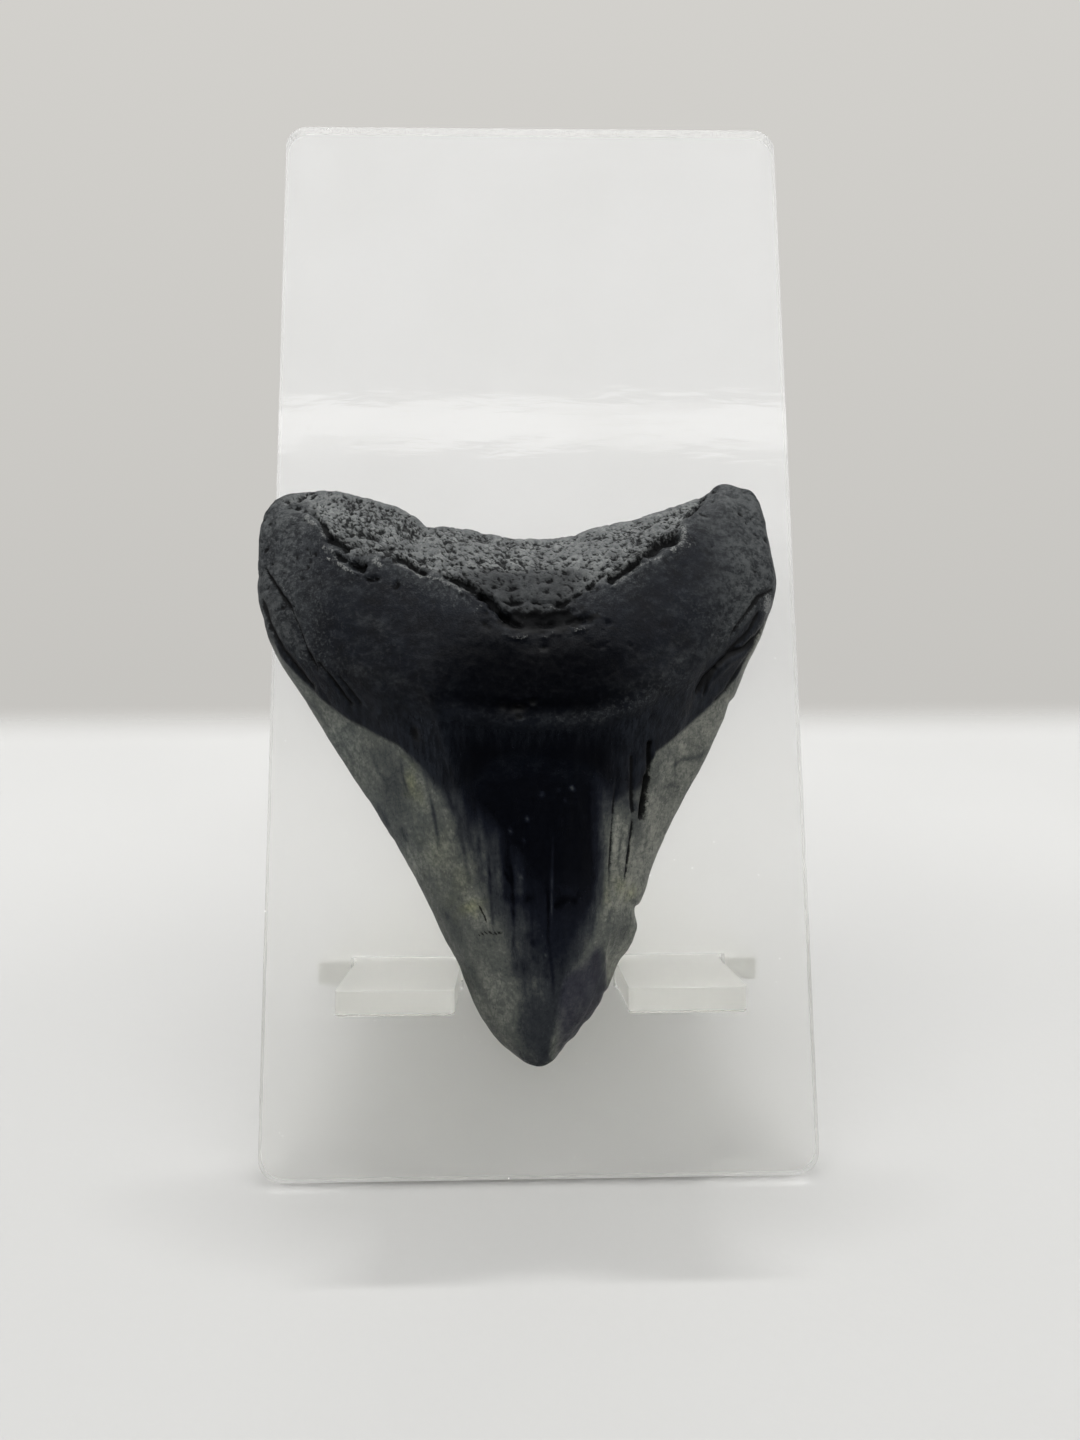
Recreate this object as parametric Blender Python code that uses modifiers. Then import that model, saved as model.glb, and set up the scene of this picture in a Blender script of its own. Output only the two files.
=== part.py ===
"""Fossil megalodon tooth resting on a two-piece frosted acrylic easel stand.

The stand is two flat pieces cut from the same 3 mm sheet.  A tall plate with
rounded corners leans back; a flat support is pushed through two slots low in
the plate.  In front of the plate the support ends in two tongues that make a
forked ledge, behind the plate it is wider, stops against the plate with its
shoulders and runs down to the table as the rear leg.  The tooth stands point
down with its flat face against the plate, its blade edges in the fork.

Metres, +Z up, front toward -Y.  The origin is on the table, under the middle
of the whole object's bounding box.
"""
import math

import bmesh
import bpy
from mathutils import Matrix, Vector

MM = 0.001
GAP = 0.3                      # clearance between pieces that touch (mm)

# ---- plate (mm) -----------------------------------------------------------
SHEET_T = 3.0                  # thickness of the acrylic sheet
PLATE_W = 75.0                 # width of the leaning plate
PLATE_H = 154.0                # height measured up the plate
PLATE_R = 3.2                  # corner radius
PLATE_LEAN = math.radians(26)  # plate leans back from the vertical

# ---- support (mm) ---------------------------------------------------------
SUPPORT_DIP = math.radians(19.1)  # support runs down toward the back
LEDGE_S = 28.0                 # its top face meets the plate front here
TONGUE_OUT = 25.3              # outer edge of each tongue from the middle
TONGUE_IN = 10.7               # inner edge of each tongue from the middle
TONGUE_L = 15.8                # tongues stand this far out of the plate
SHOULDER_HALF = 30.6           # half width against the back of the plate
FOOT_HALF = 23.4               # half width of the rear edge on the table
SUPPORT_R = 0.8                # small outside corner radius
SLOT_TOP = 29.1                # slot in the plate, measured up its front
SLOT_BOTTOM = 24.65

# ---- tooth (mm): x across, s up the plate, n out from the plate -----------
# left edge from the root lobe down to the point
LEFT_EDGE = [(-36.3, 92.2), (-38.2, 88.5), (-38.7, 83.0), (-38.3, 78.0),
             (-36.5, 72.4), (-33.2, 66.4), (-28.3, 58.4), (-22.2, 49.7),
             (-16.6, 41.4), (-12.6, 33.2), (-10.2, 27.2), (-7.4, 21.4),
             (-3.8, 16.6)]
# right edge from the root lobe down to the point
RIGHT_EDGE = [(31.8, 92.2), (32.5, 88.4), (33.0, 84.0), (33.9, 80.2),
              (32.7, 75.6), (30.2, 70.4), (27.2, 63.6), (22.9, 54.6),
              (18.4, 47.2), (14.8, 39.0), (12.8, 33.0), (10.3, 27.0),
              (6.5, 21.2), (3.0, 16.8)]
# top of the root from the left lobe over the hollow to the right lobe
ROOT_TOP = [(-36.3, 92.2), (-33.0, 93.3), (-27.7, 93.4), (-22.0, 91.9),
            (-15.0, 88.3), (-8.0, 87.0), (0.0, 85.7), (7.0, 87.0),
            (14.8, 89.2), (21.0, 91.4), (26.6, 95.0), (30.2, 94.0),
            (31.8, 92.2)]
# the rounded point
TIP = [(-3.8, 16.6), (-2.0, 15.3), (0.0, 14.9), (1.7, 15.4), (3.0, 16.8)]
TOOTH_BACK = 0.35              # flat face's clearance from the plate
# share of the way from root top to point -> (edge height above the plate,
# height of the bulging face in the middle, fullness of that face)
THICKNESS = [(0.00, 6.2, 10.4, 0.60), (0.05, 6.6, 13.0, 0.64),
             (0.13, 6.6, 16.4, 0.72), (0.22, 5.9, 17.3, 0.84),
             (0.31, 4.9, 16.4, 0.92), (0.40, 3.9, 14.2, 0.98),
             (0.50, 3.3, 12.9, 1.02), (0.62, 2.9, 11.3, 1.05),
             (0.76, 2.7, 9.2, 1.05), (0.88, 2.6, 7.0, 1.00),
             (1.00, 2.6, 4.6, 0.90)]
ROWS = 20                      # lofted sections from root to point
AROUND = 28                    # points round each section


def clear_scene():
    for obj in list(bpy.data.objects):
        bpy.data.objects.remove(obj, do_unlink=True)
    for coll in list(bpy.data.collections):
        bpy.data.collections.remove(coll)


def material(name, colour, roughness, metallic=0.0, alpha=1.0,
             transmission=0.0, ior=1.45):
    mat = bpy.data.materials.new(name)
    mat.use_nodes = True
    shader = mat.node_tree.nodes["Principled BSDF"]
    shader.inputs["Base Color"].default_value = (*colour, 1.0)
    shader.inputs["Roughness"].default_value = roughness
    shader.inputs["Metallic"].default_value = metallic
    shader.inputs["Alpha"].default_value = alpha
    shader.inputs["Transmission Weight"].default_value = transmission
    shader.inputs["IOR"].default_value = ior
    mat.diffuse_color = (*colour, alpha)
    return mat


def plate_frame():
    """Matrix from plate coordinates (x, s, n) in metres to the world."""
    c, s = math.cos(PLATE_LEAN), math.sin(PLATE_LEAN)
    rot = Matrix(((1, 0, 0), (0, s, -c), (0, c, s))).to_4x4()
    # the bottom back edge of the plate stands on the table
    return Matrix.Translation((0, 0, SHEET_T * s * MM)) @ rot


def support_frame():
    """Matrix from support coordinates (x, w, h): w runs from the front tips
    to the rear foot, h is the height above the top face."""
    c, s = math.cos(SUPPORT_DIP), math.sin(SUPPORT_DIP)
    meet = plate_frame() @ Vector((0, LEDGE_S * MM, 0))
    rot = Matrix(((1, 0, 0), (0, c, s), (0, -s, c))).to_4x4()
    start = meet - Vector((0, c, -s)) * TONGUE_L * MM
    return Matrix.Translation(start) @ rot


def spline(points, share):
    """Point at a share of the length of a smooth curve through points."""
    pts = [Vector(p) for p in points]
    lengths = [0.0]
    for a, b in zip(pts, pts[1:]):
        lengths.append(lengths[-1] + (b - a).length)
    target = share * lengths[-1]
    i = 0
    while i < len(pts) - 2 and lengths[i + 1] < target:
        i += 1
    t = (target - lengths[i]) / (lengths[i + 1] - lengths[i])
    t = min(max(t, 0.0), 1.0)
    p1, p2 = pts[i], pts[i + 1]
    p0 = pts[i - 1] if i > 0 else p1 * 2 - p2
    p3 = pts[i + 2] if i + 2 < len(pts) else p2 * 2 - p1
    return 0.5 * ((2 * p1) + (p2 - p0) * t
                  + (2 * p0 - 5 * p1 + 4 * p2 - p3) * t * t
                  + (3 * p1 - p0 - 3 * p2 + p3) * t * t * t)


def thickness(v):
    """Edge height, face height and fullness at a share v down the tooth."""
    for (v0, *a), (v1, *b) in zip(THICKNESS, THICKNESS[1:]):
        if v <= v1:
            t = (v - v0) / (v1 - v0)
            t = t * t * (3 - 2 * t)
            return [x + (y - x) * t for x, y in zip(a, b)]
    return list(THICKNESS[-1][1:])


def tooth_plan(u, v):
    """Blend the four outline curves into a point (x, s); u, v in 0..1."""
    top, tip = spline(ROOT_TOP, u), spline(TIP, u)
    left, right = spline(LEFT_EDGE, v), spline(RIGHT_EDGE, v)
    c00, c10 = Vector(LEFT_EDGE[0]), Vector(RIGHT_EDGE[0])
    c01, c11 = Vector(LEFT_EDGE[-1]), Vector(RIGHT_EDGE[-1])
    flat = top * (1 - v) + tip * v + left * (1 - u) + right * u
    corners = (c00 * (1 - u) + c10 * u) * (1 - v) + (c01 * (1 - u) + c11 * u) * v
    return flat - corners


def make_tooth(coll, mat, frame):
    bm = bmesh.new()
    loops = []
    for j in range(ROWS):
        v = j / (ROWS - 1)
        v = v ** 1.15                      # closer rows round the root
        edge, face, full = thickness(v)
        # the root's top slants in at the front and rounds over at the back,
        # and the point closes in from both sides
        top = min(v / 0.10, 1.0)
        point = min((1 - v) / 0.07, 1.0)
        point = 0.35 + 0.65 * math.sqrt(1 - (1 - point) ** 2)
        front = min(0.42 + 0.58 * top * (2 - top), point)
        back = min(0.25 + 0.75 * math.sqrt(1 - (1 - top) ** 2), point)
        loop = []
        for k in range(AROUND):
            a = 2 * math.pi * k / AROUND
            u = 0.5 - 0.5 * math.cos(a)
            p = tooth_plan(u, v)
            h = math.sin(a)
            if h >= 0:                     # bulging face, toward the front
                n = edge + (face - edge) * front * h ** (1.0 / full)
            else:                          # nearly flat face on the plate
                n = edge + (TOOTH_BACK - edge) * back * (-h) ** 0.62
            loop.append(bm.verts.new(Vector((p.x, p.y, n)) * MM))
        loops.append(loop)
    for a, b in zip(loops, loops[1:]):
        for k in range(AROUND):
            m = (k + 1) % AROUND
            bm.faces.new((a[k], b[k], b[m], a[m]))
    half = AROUND // 2
    for loop in (loops[0], loops[-1]):     # close root top and point
        for k in range(half):
            lo, hi = (AROUND - k) % AROUND, AROUND - k - 1
            ring = [loop[k], loop[k + 1], loop[hi], loop[lo]]
            ring = [x for i, x in enumerate(ring) if x not in ring[:i]]
            if loop is loops[-1]:
                ring.reverse()
            bm.faces.new(ring)
    bmesh.ops.recalc_face_normals(bm, faces=bm.faces)
    mesh = bpy.data.meshes.new("megalodon_tooth")
    bm.to_mesh(mesh)
    bm.free()
    mesh.materials.append(mat)
    mesh.shade_smooth()
    tooth = bpy.data.objects.new("megalodon_tooth", mesh)
    coll.objects.link(tooth)
    tooth.matrix_world = frame
    sub = tooth.modifiers.new("soft form", "SUBSURF")
    sub.levels = sub.render_levels = 1
    return tooth


def rounded(points, radii, steps=6):
    """Outline with its corners rounded; one radius per corner."""
    out = []
    count = len(points)
    for i in range(count):
        p, r = Vector(points[i]), radii[i]
        a = (Vector(points[i - 1]) - p).normalized()
        b = (Vector(points[(i + 1) % count]) - p).normalized()
        if r <= 0:
            out.append(p)
            continue
        angle = a.angle(b)
        reach = r / math.tan(angle / 2)
        centre = p + (a + b).normalized() * (r / math.sin(angle / 2))
        start, end = p + a * reach - centre, p + b * reach - centre
        turn = start.angle_signed(end)
        for k in range(steps + 1):
            out.append(centre + Matrix.Rotation(-turn * k / steps, 2) @ start)
    return out


def sheet(name, outline, thick, coll, mat, matrix):
    """Flat piece: a filled 2D curve given thickness, then made a mesh."""
    curve = bpy.data.curves.new(name + "_outline", "CURVE")
    curve.dimensions = "2D"
    curve.fill_mode = "BOTH"
    curve.extrude = thick * MM / 2
    line = curve.splines.new("POLY")
    line.points.add(len(outline) - 1)
    for point, co in zip(line.points, outline):
        point.co = (co[0] * MM, co[1] * MM, 0, 1)
    line.use_cyclic_u = True
    guide = bpy.data.objects.new(name + "_outline", curve)
    coll.objects.link(guide)
    bpy.context.view_layer.update()
    graph = bpy.context.evaluated_depsgraph_get()
    mesh = bpy.data.meshes.new_from_object(guide.evaluated_get(graph))
    bpy.data.objects.remove(guide, do_unlink=True)
    bm = bmesh.new()
    bm.from_mesh(mesh)
    bmesh.ops.remove_doubles(bm, verts=bm.verts, dist=0.000001)
    bmesh.ops.recalc_face_normals(bm, faces=bm.faces)
    bm.to_mesh(mesh)
    bm.free()
    mesh.name = name
    mesh.materials.clear()
    mesh.materials.append(mat)
    obj = bpy.data.objects.new(name, mesh)
    coll.objects.link(obj)
    obj.matrix_world = matrix
    return obj


def slot_cutter(side, coll, frame):
    """Box through the plate, one for each tongue."""
    width = TONGUE_OUT - TONGUE_IN + 2 * GAP
    height = SLOT_TOP - SLOT_BOTTOM
    bm = bmesh.new()
    bmesh.ops.create_cube(bm, size=1.0)
    bmesh.ops.scale(bm, vec=Vector((width, height, SHEET_T * 3)) * MM,
                    verts=bm.verts)
    mesh = bpy.data.meshes.new("slot_cutter")
    bm.to_mesh(mesh)
    bm.free()
    cutter = bpy.data.objects.new("slot_cutter_" + ("right" if side > 0 else "left"), mesh)
    coll.objects.link(cutter)
    middle = Vector((side * (TONGUE_OUT + TONGUE_IN) / 2,
                     (SLOT_TOP + SLOT_BOTTOM) / 2, -SHEET_T / 2)) * MM
    cutter.matrix_world = frame @ Matrix.Translation(middle)
    cutter.hide_render = True
    cutter.display_type = "WIRE"
    return cutter


def cut(obj, cutter):
    mod = obj.modifiers.new("slot", "BOOLEAN")
    mod.operation = "DIFFERENCE"
    mod.solver = "EXACT"
    mod.object = cutter


def make_plate(coll, cutters, mat, frame):
    w, h = PLATE_W / 2, PLATE_H
    outline = rounded([(-w, 0), (w, 0), (w, h), (-w, h)], [PLATE_R] * 4, 8)
    middle = Matrix.Translation((0, 0, -SHEET_T * MM / 2))
    plate = sheet("stand_plate", outline, SHEET_T, coll, mat, frame @ middle)
    for side in (-1, 1):
        cut(plate, slot_cutter(side, cutters, frame))
    return plate


def make_support(coll, mat, frame):
    # the plate's back, measured along the support's top face
    skew = PLATE_LEAN - SUPPORT_DIP
    shoulder = TONGUE_L + SHEET_T / math.cos(skew) + GAP
    notch = shoulder                        # the bridge of the plate sits here
    # distance to where the rear bottom edge reaches the table
    height = (SHEET_T * math.sin(PLATE_LEAN) + LEDGE_S * math.cos(PLATE_LEAN)
              + TONGUE_L * math.sin(SUPPORT_DIP)
              - SHEET_T * math.cos(SUPPORT_DIP))
    foot = height / math.sin(SUPPORT_DIP)
    o, i, s, f = TONGUE_OUT, TONGUE_IN, SHOULDER_HALF, FOOT_HALF
    r = SUPPORT_R
    points = [(-o, 0), (-i, 0), (-i, notch), (i, notch), (i, 0), (o, 0),
              (o, shoulder), (s, shoulder), (s, shoulder + 6), (f, foot),
              (-f, foot), (-s, shoulder + 6), (-s, shoulder), (-o, shoulder)]
    radii = [r, r, 0, 0, r, r, 0, r, 0, 2 * r, 2 * r, 0, r, 0]
    outline = rounded(points, radii, 4)
    middle = Matrix.Translation((0, 0, -SHEET_T * MM / 2))
    return sheet("stand_support", outline, SHEET_T, coll, mat, frame @ middle)


def centre_on_table(root, objects):
    """Move everything so the bounding box is centred over the origin."""
    bpy.context.view_layer.update()
    graph = bpy.context.evaluated_depsgraph_get()
    low, high = Vector((1e9,) * 3), Vector((-1e9,) * 3)
    for obj in objects:
        shown = obj.evaluated_get(graph)
        for vert in shown.data.vertices:
            p = shown.matrix_world @ vert.co
            low = Vector(map(min, low, p))
            high = Vector(map(max, high, p))
    root.location = (-(low.x + high.x) / 2, -(low.y + high.y) / 2, -low.z)


def main():
    clear_scene()
    parts = bpy.data.collections.new("megalodon_tooth_on_stand")
    cutters = bpy.data.collections.new("cutters")
    for coll in (parts, cutters):
        bpy.context.scene.collection.children.link(coll)

    fossil = material("fossil_tooth", (0.045, 0.043, 0.040), 0.42)
    frosted = material("frosted_acrylic_plate", (0.86, 0.87, 0.85), 0.35,
                       alpha=0.75, transmission=0.9, ior=1.49)
    frosted_2 = material("frosted_acrylic_support", (0.84, 0.86, 0.81), 0.40,
                         alpha=0.75, transmission=0.9, ior=1.49)

    root = bpy.data.objects.new("stand_frame", None)
    parts.objects.link(root)
    plate_m, support_m = plate_frame(), support_frame()
    pieces = [make_plate(parts, cutters, frosted, plate_m),
              make_support(parts, frosted_2, support_m),
              make_tooth(parts, fossil, plate_m)]
    for obj in pieces + list(cutters.objects):
        world = obj.matrix_world.copy()
        obj.parent = root
        obj.matrix_world = world
    centre_on_table(root, pieces)
    bpy.context.view_layer.update()


main()
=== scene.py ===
"""Looks for a fossil shark tooth held in the fork of a two-sheet frosted acrylic stand.

Lengths inside this file are millimetres in the plate's own axes: X across, S up the
plate's front face from its bottom edge, N out of that face.  place() turns them into
the row frame in metres.
"""

import math

import bpy
import numpy as np
from mathutils import Matrix, Vector


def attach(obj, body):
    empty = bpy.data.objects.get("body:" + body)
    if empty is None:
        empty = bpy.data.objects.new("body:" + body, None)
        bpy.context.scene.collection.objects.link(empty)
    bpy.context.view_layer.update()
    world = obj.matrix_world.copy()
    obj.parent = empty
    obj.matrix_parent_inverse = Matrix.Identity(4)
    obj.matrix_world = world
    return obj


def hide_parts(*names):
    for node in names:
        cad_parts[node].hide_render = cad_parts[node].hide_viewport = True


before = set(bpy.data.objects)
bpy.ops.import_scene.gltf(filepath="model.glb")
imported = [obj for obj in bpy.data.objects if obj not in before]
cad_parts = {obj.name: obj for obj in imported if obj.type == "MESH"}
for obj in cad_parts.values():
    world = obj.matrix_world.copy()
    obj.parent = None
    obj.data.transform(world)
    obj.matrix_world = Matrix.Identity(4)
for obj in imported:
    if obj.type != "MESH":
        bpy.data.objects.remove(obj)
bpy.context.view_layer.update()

LEAN = math.radians(26.0)
ORIGIN = np.array([0.41866, -38.46198, 1.31511])
EX = np.array([1.0, 0.0, 0.0])
ES = np.array([0.0, math.sin(LEAN), math.cos(LEAN)])
EN = np.array([0.0, -math.cos(LEAN), math.sin(LEAN)])
AXES = np.column_stack([EX, ES, EN])


def place(points):
    return (ORIGIN + np.asarray(points, float) @ AXES.T) * 0.001


# ---------------------------------------------------------------- camera
def turn(axis, degrees):
    a = math.radians(degrees)
    c, s = math.cos(a), math.sin(a)
    if axis == "x":
        return np.array([[1, 0, 0], [0, c, -s], [0, s, c]])
    if axis == "y":
        return np.array([[c, 0, s], [0, 1, 0], [-s, 0, c]])
    return np.array([[c, -s, 0], [s, c, 0], [0, 0, 1]])


view_turn = turn("z", -0.31) @ turn("y", -1.47) @ turn("x", -8.55) @ np.diag([1.0, -1.0, -1.0])
view_shift = np.array([0.08, 62.08, 146.44]) * 75.0 / 76.2
eye = -view_turn.T @ view_shift
cam_data = bpy.data.cameras.new("camera")
cam_data.sensor_fit = "AUTO"
cam_data.sensor_width = 36.0
cam_data.lens = 36.0 * 1083.0 / 1440.0
cam_data.clip_start, cam_data.clip_end = 0.005, 50.0
cam = bpy.data.objects.new("camera", cam_data)
bpy.context.scene.collection.objects.link(cam)
facing = Matrix.Identity(4)
for column, vector in enumerate((AXES @ view_turn[0], -AXES @ view_turn[1], -AXES @ view_turn[2])):
    for row in range(3):
        facing[row][column] = float(vector[row])
for row in range(3):
    facing[row][3] = float(place(eye)[row])
cam.matrix_world = facing
bpy.context.scene.camera = cam


# ---------------------------------------------------------------- node helpers
def linear(rgb):
    return tuple((c / 255 / 12.92 if c / 255 <= 0.04045 else ((c / 255 + 0.055) / 1.055) ** 2.4) for c in rgb)


class Net:
    """Small helper that wires nodes and returns sockets."""

    def __init__(self, tree):
        self.t = tree
        tree.nodes.clear()

    def node(self, kind, **values):
        n = self.t.nodes.new(kind)
        for k, v in values.items():
            setattr(n, k, v)
        return n

    def feed(self, socket, value):
        if isinstance(value, bpy.types.NodeSocket):
            self.t.links.new(value, socket)
        elif value is not None:
            if isinstance(value, (tuple, list)) and len(value) == 3 and len(socket.default_value) == 4:
                value = (*value, 1.0)
            socket.default_value = value

    def math(self, op, a, b=None, c=None, clamp=False):
        n = self.node("ShaderNodeMath", operation=op, use_clamp=clamp)
        for i, v in enumerate((a, b, c)):
            if v is not None:
                self.feed(n.inputs[i], v)
        return n.outputs[0]

    def vector(self, op, a, b=None):
        n = self.node("ShaderNodeVectorMath", operation=op)
        self.feed(n.inputs[0], a)
        if b is not None:
            self.feed(n.inputs[1], b)
        return n.outputs["Value"] if op in ("DOT_PRODUCT", "LENGTH", "DISTANCE") else n.outputs["Vector"]

    def ramp(self, value, lo, hi, out_lo=0.0, out_hi=1.0, smooth=True):
        n = self.node("ShaderNodeMapRange", clamp=True)
        n.interpolation_type = "SMOOTHSTEP" if smooth else "LINEAR"
        self.feed(n.inputs["Value"], value)
        n.inputs["From Min"].default_value, n.inputs["From Max"].default_value = lo, hi
        n.inputs["To Min"].default_value, n.inputs["To Max"].default_value = out_lo, out_hi
        return n.outputs["Result"]

    def mix(self, factor, a, b, blend="MIX"):
        n = self.node("ShaderNodeMix", data_type="RGBA", blend_type=blend)
        self.feed(n.inputs[0], factor)
        self.feed(n.inputs[6], a)
        self.feed(n.inputs[7], b)
        return n.outputs[2]

    def noise(self, vector, scale, detail=3.0, rough=0.5, distortion=0.0):
        n = self.node("ShaderNodeTexNoise")
        self.feed(n.inputs["Vector"], vector)
        n.inputs["Scale"].default_value = scale
        n.inputs["Detail"].default_value = detail
        n.inputs["Roughness"].default_value = rough
        n.inputs["Distortion"].default_value = distortion
        return n.outputs["Fac"]

    def cells(self, vector, scale, feature="F1", randomness=1.0):
        n = self.node("ShaderNodeTexVoronoi", feature=feature)
        self.feed(n.inputs["Vector"], vector)
        n.inputs["Scale"].default_value = scale
        n.inputs["Randomness"].default_value = randomness
        return n.outputs["Distance"]

    def attribute(self, name):
        return self.node("ShaderNodeAttribute", attribute_name=name).outputs["Fac"]

    def plate_space(self, stretch=(1.0, 1.0, 1.0)):
        """Position in millimetres along X, S and N."""
        p = self.node("ShaderNodeTexCoord").outputs["Object"]
        o = tuple(ORIGIN * 0.001)
        p = self.vector("SUBTRACT", p, o)
        n = self.node("ShaderNodeCombineXYZ")
        for i, axis in enumerate((EX, ES, EN)):
            self.feed(n.inputs[i], self.vector("DOT_PRODUCT", p, tuple(axis * 1000.0 * stretch[i])))
        return n.outputs[0]


def material(name):
    m = bpy.data.materials.new(name)
    m.use_nodes = True
    return m, Net(m.node_tree)


def gloss_shader(net, **inputs):
    b = net.node("ShaderNodeBsdfPrincipled")
    for key, value in inputs.items():
        net.feed(b.inputs[key.replace("_", " ")], value)
    return b


# ---------------------------------------------------------------- room and light
scene = bpy.context.scene
scene.view_settings.view_transform = "Standard"
scene.view_settings.look = "None"
scene.view_settings.exposure = 0.0
scene.view_settings.gamma = 1.0
scene.cycles.use_denoising = True
scene.cycles.max_bounces = 20
scene.cycles.diffuse_bounces = 4
scene.cycles.glossy_bounces = 6
scene.cycles.transmission_bounces = 16
scene.cycles.transparent_max_bounces = 12
scene.cycles.caustics_reflective = True
scene.cycles.caustics_refractive = True
scene.cycles.blur_glossy = 0.6
scene.cycles.sample_clamp_indirect = 40.0

world = bpy.data.worlds.new("soft_box")
world.use_nodes = True
scene.world = world
net = Net(world.node_tree)
coord = net.node("ShaderNodeTexCoord").outputs["Generated"]
split = net.node("ShaderNodeSeparateXYZ")
net.feed(split.inputs[0], coord)
wx, wy, wz = split.outputs
ahead = net.ramp(wy, 0.10, -0.30)
# the box's front edge and the tube along it run straight from side to side
slope = net.math("DIVIDE", wz, net.math("MAXIMUM", net.math("MULTIPLY", wy, -1.0), 0.02))
ceiling = net.math("MINIMUM", net.ramp(wz, 0.42, 0.56), net.ramp(slope, 0.74, 1.02))
band = net.math("MULTIPLY", net.ramp(slope, 1.128, 1.150), net.ramp(slope, 1.240, 1.225))
band = net.math("MULTIPLY", band, ahead)
glow = net.math("MULTIPLY", net.math("MULTIPLY", net.ramp(slope, 2.3, 1.3), net.ramp(slope, 0.88, 1.02)), ahead)
rear = net.ramp(wy, -0.25, 0.20)
flank = net.ramp(net.math("ABSOLUTE", wx), 0.45, 0.95)
# the open front of the box is dim, its side walls are a little lighter, its back wall is pale grey
low = net.math("MULTIPLY_ADD", flank, 0.32, 0.025)
low = net.math("MULTIPLY_ADD", rear, net.math("SUBTRACT", 0.625, low), low)
top = net.math("MULTIPLY_ADD", ahead, 1.10, 0.86)
top = net.math("MULTIPLY", top, net.ramp(wz, 0.855, 0.905, 1.0, 0.83))
level = net.math("MULTIPLY_ADD", ceiling, net.math("SUBTRACT", top, low), low)
level = net.math("MULTIPLY_ADD", band, 2.7, level)
level = net.math("MULTIPLY_ADD", glow, 0.70, level)
wall = net.ramp(wz, -0.24, 0.28, 0.560, 0.640, smooth=False)
eye_ray = net.node("ShaderNodeLightPath").outputs["Is Camera Ray"]
level = net.math("MULTIPLY_ADD", eye_ray, net.math("SUBTRACT", wall, level), level)
background = net.node("ShaderNodeBackground")
net.feed(background.inputs["Color"], net.mix(eye_ray, (1.0, 0.995, 0.985), (1.01, 0.99, 0.945)))
net.feed(background.inputs["Strength"], level)
out = net.node("ShaderNodeOutputWorld")
net.feed(out.inputs["Surface"], background.outputs[0])


def soft_light(name, spot, aim, size, watts, tint=(1.0, 1.0, 1.0)):
    d = bpy.data.lights.new(name, "AREA")
    d.shape = "RECTANGLE"
    d.size, d.size_y = size
    d.energy = watts
    d.color = tint
    o = bpy.data.objects.new(name, d)
    scene.collection.objects.link(o)
    o.location = spot
    o.rotation_mode = "QUATERNION"
    o.rotation_quaternion = (Vector(aim) - Vector(spot)).to_track_quat("-Z", "Y")
    return o


strip = soft_light("rear_strip", (0.0, 0.357, 0.966), (0.0, -0.04, 0.02), (0.46, 0.030), 3.2)
strip.visible_transmission = False

# the floor is one pale sheet whose far edge fades into the back wall
floor_mesh = bpy.data.meshes.new("floor")
floor_mesh.from_pydata([(-2.5, -2.5, 0), (2.5, -2.5, 0), (2.5, 0.20, 0), (-2.5, 0.20, 0)], [], [(0, 1, 2, 3)])
floor = bpy.data.objects.new("floor", floor_mesh)
scene.collection.objects.link(floor)
m, net = material("pale_floor")
pos = net.node("ShaderNodeTexCoord").outputs["Object"]
sep = net.node("ShaderNodeSeparateXYZ")
net.feed(sep.inputs[0], pos)
weave = net.noise(pos, 900.0, 4.0, 0.6)
patch = net.noise(pos, 9.0, 2.0, 0.5)
tone = net.mix(net.ramp(patch, 0.3, 0.7), (0.528, 0.528, 0.520), (0.546, 0.546, 0.538))
tone = net.mix(net.math("MULTIPLY", net.ramp(weave, 0.35, 0.75), 0.05), tone, (0.475, 0.475, 0.465))
# painted light: the floor is painted 9% lighter toward the back
tone = net.mix(net.ramp(sep.outputs[1], -0.01, 0.07), tone, net.mix(1.0, tone, (1.09, 1.09, 1.09), "MULTIPLY"))
shader = gloss_shader(net, Base_Color=tone, Roughness=0.75)
bump = net.node("ShaderNodeBump")
bump.inputs["Strength"].default_value = 0.05
bump.inputs["Distance"].default_value = 0.0004
net.feed(bump.inputs["Height"], weave)
net.feed(shader.inputs["Normal"], bump.outputs[0])
gone = net.node("ShaderNodeBsdfTransparent")
fade = net.node("ShaderNodeMixShader")
net.feed(fade.inputs[0], net.ramp(sep.outputs[1], 0.148, 0.190))
net.feed(fade.inputs[1], shader.outputs[0])
net.feed(fade.inputs[2], gone.outputs[0])
out = net.node("ShaderNodeOutputMaterial")
net.feed(out.inputs["Surface"], fade.outputs[0])
floor_mesh.materials.append(m)
floor.visible_glossy = False  # gloss on the object mirrors the room, not the sheet it stands on


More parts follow.
